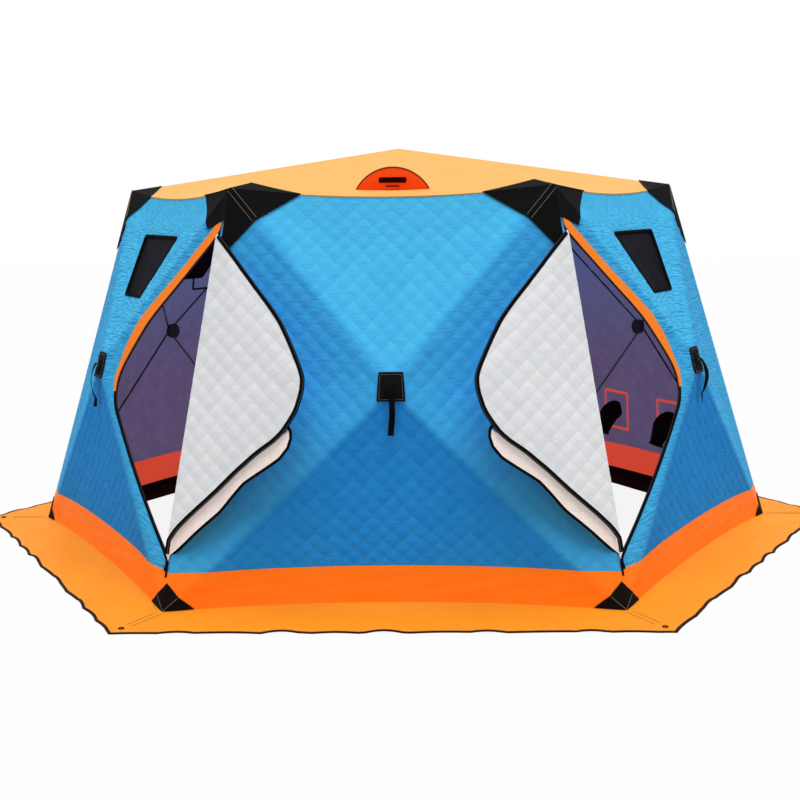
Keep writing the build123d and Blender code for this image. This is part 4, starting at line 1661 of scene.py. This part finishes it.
def snow_guard():
    """The strip along the lower edge of the flap, with its bound free edge."""
    lower_edge = [tuple(point) for point in flap_outline(-binding_inset) if point.x < 0.90 and point.y < 0.70]
    inner = resample(lower_edge, 0.01)
    outer = resample(snow_guard_edge, 0.01)
    run_in, run_out = (np.linspace(0, 1, len(curve)) for curve in (inner, outer))
    tuck = 0.016
    edge_rise = 0.005
    edge_wave = 0.004

    def place(u, v):
        near = np.stack([np.interp(u, run_in, inner[:, k]) for k in (0, 1)], axis=1)
        far = np.stack([np.interp(u, run_out, outer[:, k]) for k in (0, 1)], axis=1)
        way = far - near
        under = tuck / np.maximum(np.linalg.norm(way, axis=1), tuck)
        flat = near + way * (v * (1 + under) - under)[:, None]
        height = snow_guard_lift + edge_rise * v + edge_wave * np.sin(u * 17 + 1) * v
        rows = np.outer(flat[:, 0], facet_up) + np.outer(flat[:, 1], facet_out) + np.array(facet_origin)
        return rows + np.outer(height, facet_outward)

    piece = mapped_sheet("snow guard", (90, 8), place, (0.9, 0.09))
    u = np.linspace(0, 1, 120)
    path = place(u, np.ones_like(u))
    up = repeated(facet_outward, len(path))
    side = away_from(on_facet(1.0, 0.3), path, beside(path, up))
    edge = ribbon("snow guard edge", path, side, up, flat_section(-0.009, 0.003, -0.0040, 0.0016), black_tape)
    face_towards(piece, facet_outward)
    give_thickness(piece, snow_guard_thickness, [band_cloth, guard_lining])
    return joined([piece, edge], "snow guard")


def rain_guard():
    """The crescent over the upper zip, sewn along its outer edge, with its free edge a little lifted."""
    inner = np.array([tuple(point) for point in cut_leaf(-zip_inset, head_cuts)[leaf_arc_steps:]])
    inner = inner[inner[:, 0].argsort()]
    outer = np.array(rain_guard_edge)
    free_edge_lift = 0.002
    overlap = 0.006

    def place(u, v):
        up = outer[0, 0] + (outer[-1, 0] - outer[0, 0]) * u
        near = np.interp(up, inner[:, 0], inner[:, 1]) - overlap
        out = near + (np.interp(up, outer[:, 0], outer[:, 1]) - near) * v
        rows = np.outer(up, facet_up) + np.outer(out, facet_out) + np.array(facet_origin)
        lift = rain_guard_lift + free_edge_lift * (1 - v) * np.sin(pi * u) ** 0.5
        return on_wall(rows[:, 1], rows[:, 2], lift)[0]

    piece = mapped_sheet("rain guard", (80, 10), place, (0.95, 0.06))
    face_towards(piece, facet_outward)
    give_thickness(piece, rain_guard_thickness, [guard_cloth])
    return piece


def window_pane():
    """The dark sheet of a window, set back in its opening."""
    def place(u, v):
        outline = window_outline(0.006)
        z = outline[1][1] + (outline[0][1] - outline[1][1]) * v
        half = outline[2][0] + (outline[3][0] - outline[2][0]) * v
        y = (2 * u - 1) * half
        ripple = 0.0018 * wave(np.stack([y * 2, z * 2], axis=1), 2)
        return on_wall(y, z, -0.006 + ripple)[0]

    piece = mapped_sheet("pane", (24, 18), place, (0.5, 0.33))
    give_thickness(piece, window_thickness, [window_sheet])
    return piece


def window_frame():
    """The tape round a window."""
    outline = rounded(window_outline(0.002), 0.014)
    path, side, up = path_on_wall(resample(np.vstack([outline, outline[:1]]), frame_pitch))
    side = away_from(path.mean(axis=0), path, side)
    return ribbon("window frame", path, side, up, flat_section(-0.007, 0.006, -0.011, 0.0035), black_tape)


def window_tie():
    """The tape on the lining that holds the rolled cover of the window."""
    flat = [(-0.020, 1.365), (-0.062, 1.284), (-0.075, 1.282), (-0.250, 1.282)]
    path, side, up = path_on_wall(resample(flat, frame_pitch), -wall_thickness - 0.006)
    return ribbon("window tie", path, side, up, flat_section(-0.006, 0.006, -0.002, 0.001), black_tape)


def arch(half, high, share, base):
    """Places across and up on an arc of a width and a height over a base, from share 0 to 1 along it."""
    radius = (half**2 + high**2) / (2 * high)
    spread = 2 * np.arctan(high / half)
    angle = (2 * share - 1) * spread
    return radius * np.sin(angle), base + radius * (np.cos(angle) - np.cos(spread))


def level_bar(name, x, z, half_length, count, half_width_up, low, high):
    """A flat bar that lies level across the face of the hood."""
    path = rows_between((x, -half_length, z), (x, half_length, z), np.linspace(0, 1, count))
    return ribbon(name, path, repeated((0, 0, 1), count), repeated((1, 0, 0), count),
                  flat_section(-half_width_up, half_width_up, low, high), slot_edge)


def vent_hood():
    """The half-round hood: its cover, its face with the slot, and the slot's lip, tab and screen."""
    front_x = head_right.x - hood_set_back
    back_x = front_x - hood_depth
    base = float(roof_level(front_x, 0.0))

    def cover(u, v):
        half = (hood_width + (hood_back_width - hood_width) * v) / 2
        high = hood_height + (hood_back_height - hood_height) * v
        x = front_x + (back_x - front_x) * v
        y, z = arch(half, high, u, roof_level(x, np.zeros_like(x)))
        z += 0.004 * np.sin(pi * v) * np.sin(u * 9)
        return np.stack([x + 0 * u, y, np.maximum(z, roof_level(x, y) + 0.001)], axis=1)

    def face(u, v):
        inset = 0.002
        y, top = arch(hood_width / 2 - inset, hood_height - inset, u, base)
        z = base + (top - base) * v
        bulge = 0.010 * np.sin(pi * u) * np.sin(pi * np.clip(v, 0, 1))
        return np.stack([front_x + bulge, y, z], axis=1)

    shell = mapped_sheet("hood cover", (36, 18), cover, (0.42, 0.28))
    give_thickness(shell, hood_thickness, [hood_cloth])
    front = mapped_sheet("hood face", (70, 22), face, (0.35, 0.10))
    half = hood_slot_width / 2
    slot_foot = base + hood_slot_up
    slot_head = slot_foot + hood_slot_height
    slot = [(-half, slot_foot), (half, slot_foot), (half, slot_head), (-half, slot_head)]
    trim(front, slot, keep_inside=False, reach=0.008)
    give_thickness(front, hood_thickness, [hood_cloth])
    u = np.linspace(0, 1, 60)
    rim_path = cover(u, np.zeros_like(u))
    outward = repeated((1, 0, 0), len(u))
    rim = ribbon("hood rim", rim_path, beside(rim_path, outward), outward, round_section(0.0034),
                 brown_thread)
    slot_path = resample(rounded(slot, 0.004), 0.006)
    lip_path = np.stack([np.full(len(slot_path), front_x + 0.009), slot_path[:, 0], slot_path[:, 1]], axis=1)
    lip_path = np.vstack([lip_path, lip_path[:1]])
    outward = repeated((1, 0, 0), len(lip_path))
    lip = ribbon("slot lip", lip_path, beside(lip_path, outward), outward,
                 flat_section(-0.001, 0.004, -0.006, 0.002), slot_edge)
    tab = level_bar("hood tab", front_x + 0.008, slot_foot - 0.016, 0.032, 12, 0.003, -0.001, 0.003)
    screen = level_bar("slot screen", front_x - 0.008, slot_foot + hood_slot_height / 2, half, 16, 0.016,
                       -0.001, 0.001)
    return joined([shell, front, rim, lip, tab, screen], "vent hood")


def ground_flap(seed):
    """The black flap inside the foot of a wall, lying on the ground."""
    outer = base_radius - (wall_thickness + 0.003) / cos(half_turn)
    inner = outer - ground_flap_width / cos(half_turn)
    fold_share = 0.3
    fold = outer - fold_share * (outer - inner)

    def place(u, v):
        share = 2 * u - 1
        falling = np.clip(v / fold_share, 0, 1)
        lying = np.clip((v - fold_share) / (1 - fold_share), 0, 1)
        radius = outer + (fold - outer) * falling + (inner - fold) * lying
        y = share * radius * sin(half_turn)
        rise = (1 - falling) ** 1.4 * rise_of_foot(share * foot_right.y)
        ripple = np.clip(wave(np.stack([y, v * 0.3], axis=1), seed + 9), 0, 2)
        lift = 0.006 * ripple * np.sin(pi * v) * (1 - share**6)
        return np.stack([radius * cos(half_turn), y, 0.0035 + lift + rise], axis=1)

    piece = mapped_sheet("ground flap", (90, 14), place, (2.0, 0.21))
    face_towards(piece, (0, 0, 1))
    give_thickness(piece, ground_flap_thickness, [black_cloth])
    return piece


def vent_place(side):
    """Middle, inward and downward directions of a sleeve vent on the lining of the generic wall."""
    y = side * vent_spread
    place, outward = on_wall(np.array([y]), np.array([vent_height]), np.array([-wall_thickness - 0.002]))
    inward = -outward[0]
    across = np.array([0.0, 1.0, 0.0])
    return place[0], inward, np.cross(inward, across)


def vent_patch(side):
    """The square patch that a sleeve vent sits on, with its tape."""
    centre = vent_place(side)[0]
    half = vent_patch_size / 2

    def place(u, v):
        y = centre[1] + (2 * u - 1) * half
        z = vent_height + (2 * v - 1) * half * 0.98
        return on_wall(y, z, np.full_like(y, -wall_thickness - 0.004))[0]

    piece = mapped_sheet("vent patch", (20, 20), place, (vent_patch_size, vent_patch_size))
    give_thickness(piece, vent_patch_thickness, [inner_quilt])
    ring = np.array([(-1, -1), (1, -1), (1, 1), (-1, 1), (-1, -1)], dtype=float) * half * 0.96
    flat = resample(ring, 0.012) + np.array([centre[1], vent_height])
    path, across, up = path_on_wall(flat, -wall_thickness - 0.006)
    across = away_from(path.mean(axis=0), path, across)
    tape = ribbon("vent patch tape", path, across, -up, flat_section(-0.014, 0.002, -0.001, 0.0015),
                  band_lining)
    return joined([piece, tape], "vent patch")


def vent_sleeve(side):
    """The soft sleeve, drooping from its patch, gathered at its end."""
    centre, inward, down = vent_place(side)
    radius = 0.060
    neck = 0.022
    bend_radius = 0.066
    tail_length = 0.118
    turn = np.linspace(0, radians(62), 10)
    tail_shares = np.linspace(0.1, 1, 10)
    bend = [centre + inward * (0.006 + bend_radius * sin(a)) + down * bend_radius * (1 - cos(a))
            for a in turn]
    heading = inward * cos(turn[-1]) + down * sin(turn[-1])
    tail = [bend[-1] + heading * tail_length * share for share in tail_shares]
    path = np.array([centre] + bend + tail)
    forward = unit(np.gradient(path, axis=0))
    across = repeated((0, 1, 0), len(path))
    other = unit(np.cross(forward, across))
    widths = np.concatenate([[radius + 0.001], np.full(len(turn), radius), radius - neck * tail_shares**0.8])
    ring = np.array(round_section(1.0, 28))
    fold = 1 + 0.05 * np.sin(5 * np.arctan2(ring[:, 1], ring[:, 0]))
    piece = ribbon("sleeve", path, across * widths[:, None], other * widths[:, None], ring * fold[:, None],
                   black_cloth, cap=False)
    give_thickness(piece, sleeve_thickness, [black_cloth])
    end = path[-1] + forward[-1] * -0.004
    tie_radius = 0.0415
    tie = np.array([end + tie_radius * (across[-1] * a + other[-1] * b) for a, b in round_section(1.0, 24)])
    tie = np.vstack([tie, tie[:1]])
    up = repeated(forward[-1], len(tie))
    hem = ribbon("sleeve hem", tie, beside(tie, up), up, flat_section(-0.003, 0.003, -0.006, 0.004),
                 black_tape)
    return joined([piece, hem], "vent sleeve")


# The pieces in their places

wall_forms = {
    "plain": quilted_wall("plain wall", window=False, door=False),
    "window": quilted_wall("window wall", window=True, door=False),
    "door": quilted_wall("door wall", window=True, door=True),
}
wall_kinds = {
    "front": "plain",
    "left_front": "door",
    "left_back": "window",
    "back": "plain",
    "right_back": "window",
    "right_front": "door",
}
band_form = foot_band()
roof_form = roof_sheet()
copied = (
    ("quilted_wall", "wall", "wall", "quilted_blue"),
    ("band", "foot_band", "band", "band_orange"),
    ("roof", "roof_panel", "roof", "roof_orange"),
)
for number, (name, angle) in enumerate(walls.items()):
    forms = (wall_forms[wall_kinds[name]], band_form, roof_form)
    for form, (label, node, kind, slot) in zip(forms, copied):
        piece = copy_of(form, f"{name}_{label}")
        put(piece, piece.name, angle, slot, [f"{name}_{node}"], kind,
            mirrored=kind == "wall" and name == "right_front")
    sheet_piece, tape = skirt(number + 1)
    put(sheet_piece, f"{name}_skirt_cloth", angle, "skirt_orange", [f"{name}_skirt"])
    put(tape, f"{name}_skirt_hem", angle, "black_webbing")
    put(ground_flap(number), f"{name}_ground_flap", angle, "black_patch", ["ground_flap"], "ground_flap",
        held="laid")
remove(list(wall_forms.values()) + [band_form, roof_form])

for number, angle in enumerate(corners, 1):
    put(top_patch(beside_door=angle in door_corners), f"top_corner_patch_{number}", angle, "black_patch",
        ["top_corner_patches"], "top_patch", mirrored=angle == door_corners[1])
    put(foot_patch(), f"foot_corner_patch_{number}", angle, "black_patch", ["foot_corner_patches"],
        "foot_patch")

for number, angle in enumerate(walls.values(), 1):
    patch, strap = hub_patch_and_strap()
    put(patch, f"hub_patch_{number}", angle, "black_patch", ["hub_patches"], "hub_patch")
    put(strap, f"pull_strap_{number}", angle, "black_webbing", ["pull_straps"], "strap", held="hung")

for side in ("left", "right"):
    mirrored = side == "right"
    angle = walls[f"{side}_front"]
    fixed = (("door_binding", door_binding(), "black_webbing"), ("rain_guard", rain_guard(), "band_orange"))
    for node, piece, slot in fixed:
        put(piece, f"{side}_{node}_cloth", angle, slot, [f"{side}_{node}"], node, mirrored=mirrored)
    turning = (
        ("door_flap", "door_flap", flap_cloth(), "quilted_blue"),
        ("flap_roll", "door_flap", flap_roll(), "quilted_blue"),
        ("flap_binding", "flap_binding", flap_tape(), "black_webbing"),
        ("snow_guard", "snow_guard", snow_guard(), "band_orange"),
    )
    for kind, node, piece, slot in turning:
        piece.data.transform(hinge_turn())
        put(piece, f"{side}_{kind}_cloth", angle, slot, [f"{side}_{node}"], kind, body=f"{side}_door",
            mirrored=mirrored, held="hung")

for name in window_walls:
    pane = window_pane()
    surround = joined([window_frame(), window_tie()], "window frame")
    put(pane, f"{name}_window", walls[name], "window_sheet", ["window_panes"])
    put(surround, f"{name}_window_frame", walls[name], "black_webbing")

put(vent_hood(), "front_vent_hood", walls["front"], "hood_orange", ["vent_hood"], "hood")

for label, side in (("near", -1), ("far", 1)):
    angle = walls["right_back"]
    patch = vent_patch(side)
    sleeve = vent_sleeve(side)
    put(patch, f"{label}_vent_patch", angle, "black_patch", ["vent_patches"], "vent_patch")
    put(sleeve, f"{label}_vent_sleeve", angle, "black_patch", ["vent_sleeves"], "vent_sleeve", held="hung")

for name, material in (("wall_poles", pole_finish), ("roof_poles", pole_finish),
                       ("wall_hubs", hub_finish), ("roof_hub", hub_finish)):
    dress(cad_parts[name], [material])


# Floor, light and camera

def shown_rays(tree):
    """1 for the rays that show the surroundings: straight from the camera, mirrored or through glass."""
    path = add(tree, "ShaderNodeLightPath")
    seen = path.outputs["Is Camera Ray"]
    for other in ("Is Glossy Ray", "Is Transmission Ray"):
        seen = math(tree, "MAXIMUM", seen, path.outputs[other])
    return seen


def floor():
    """A pale ground that the camera sees almost as white as the sky."""
    floor_size = 60
    deselect()
    bpy.ops.mesh.primitive_grid_add(x_subdivisions=2, y_subdivisions=2, size=floor_size, location=(0, 0, 0))
    plane = bpy.context.object
    plane.name = "floor"
    material = bpy.data.materials.new("pale floor")
    material.use_nodes = True
    tree = material.node_tree
    shader = tree.nodes["Principled BSDF"]
    shader.inputs["Roughness"].default_value = 0.9
    glow = add(tree, "ShaderNodeEmission")
    glow.inputs["Color"].default_value = (1, 1, 1, 1)
    glow.inputs["Strength"].default_value = 1.0
    straight = add(tree, "ShaderNodeLightPath").outputs["Is Camera Ray"]
    ground = shades(tree, straight, (0.40, 0.40, 0.41), (0.82, 0.82, 0.83))
    tree.links.new(ground, shader.inputs["Base Color"])
    mix = add(tree, "ShaderNodeMixShader")
    tree.links.new(math(tree, "MULTIPLY", shown_rays(tree), 0.90), mix.inputs[0])
    tree.links.new(shader.outputs[0], mix.inputs[1])
    tree.links.new(glow.outputs[0], mix.inputs[2])
    tree.links.new(mix.outputs[0], tree.nodes["Material Output"].inputs["Surface"])
    plane.data.materials.append(material)


def sun_light(name, direction, strength, spread):
    """A soft light from far away: direction points at it, and spread is its width in degrees."""
    light = bpy.data.lights.new(name, "SUN")
    light.energy = strength
    light.angle = radians(spread)
    lamp = bpy.data.objects.new(name, light)
    lamp.rotation_euler = Vector(direction).to_track_quat("Z", "Y").to_euler()
    bpy.context.scene.collection.objects.link(lamp)


def sky():
    """A white backdrop that lights the hut more softly than it looks."""
    light_share = 0.33
    world = bpy.data.worlds.new("studio")
    bpy.context.scene.world = world
    world.use_nodes = True
    tree = world.node_tree
    back = tree.nodes["Background"]
    back.inputs["Color"].default_value = (1.0, 1.0, 1.0, 1)
    extra = math(tree, "MULTIPLY", shown_rays(tree), 1 - light_share)
    strength = math(tree, "ADD", extra, light_share)
    tree.links.new(strength, back.inputs["Strength"])


def picture_camera():
    """The camera of the photograph, fitted to the corners and hubs of the hut."""
    place = Vector((0.20196, -7.51857, 1.84683))
    forward = Vector((-0.02777, 0.98787, -0.15280)).normalized()
    level_right = forward.cross(Vector((0, 0, 1))).normalized()
    level_up = level_right.cross(forward)
    roll = 0.0122
    lens = 59.53
    sensor_width = 36
    right = level_right * cos(roll) - level_up * sin(roll)
    up = level_up * cos(roll) + level_right * sin(roll)
    camera = bpy.data.objects.new("camera", bpy.data.cameras.new("camera"))
    camera.data.lens = lens
    camera.data.sensor_width = sensor_width
    camera.matrix_world = Matrix((
        (right.x, up.x, -forward.x, place.x),
        (right.y, up.y, -forward.y, place.y),
        (right.z, up.z, -forward.z, place.z),
        (0, 0, 0, 1),
    ))
    bpy.context.scene.collection.objects.link(camera)
    bpy.context.scene.camera = camera


floor()
sky()
sun_light("high soft light", direction=(0.05, -0.16, 1.0), strength=2.4, spread=50)
picture_camera()
bpy.context.scene.view_settings.view_transform = "Standard"
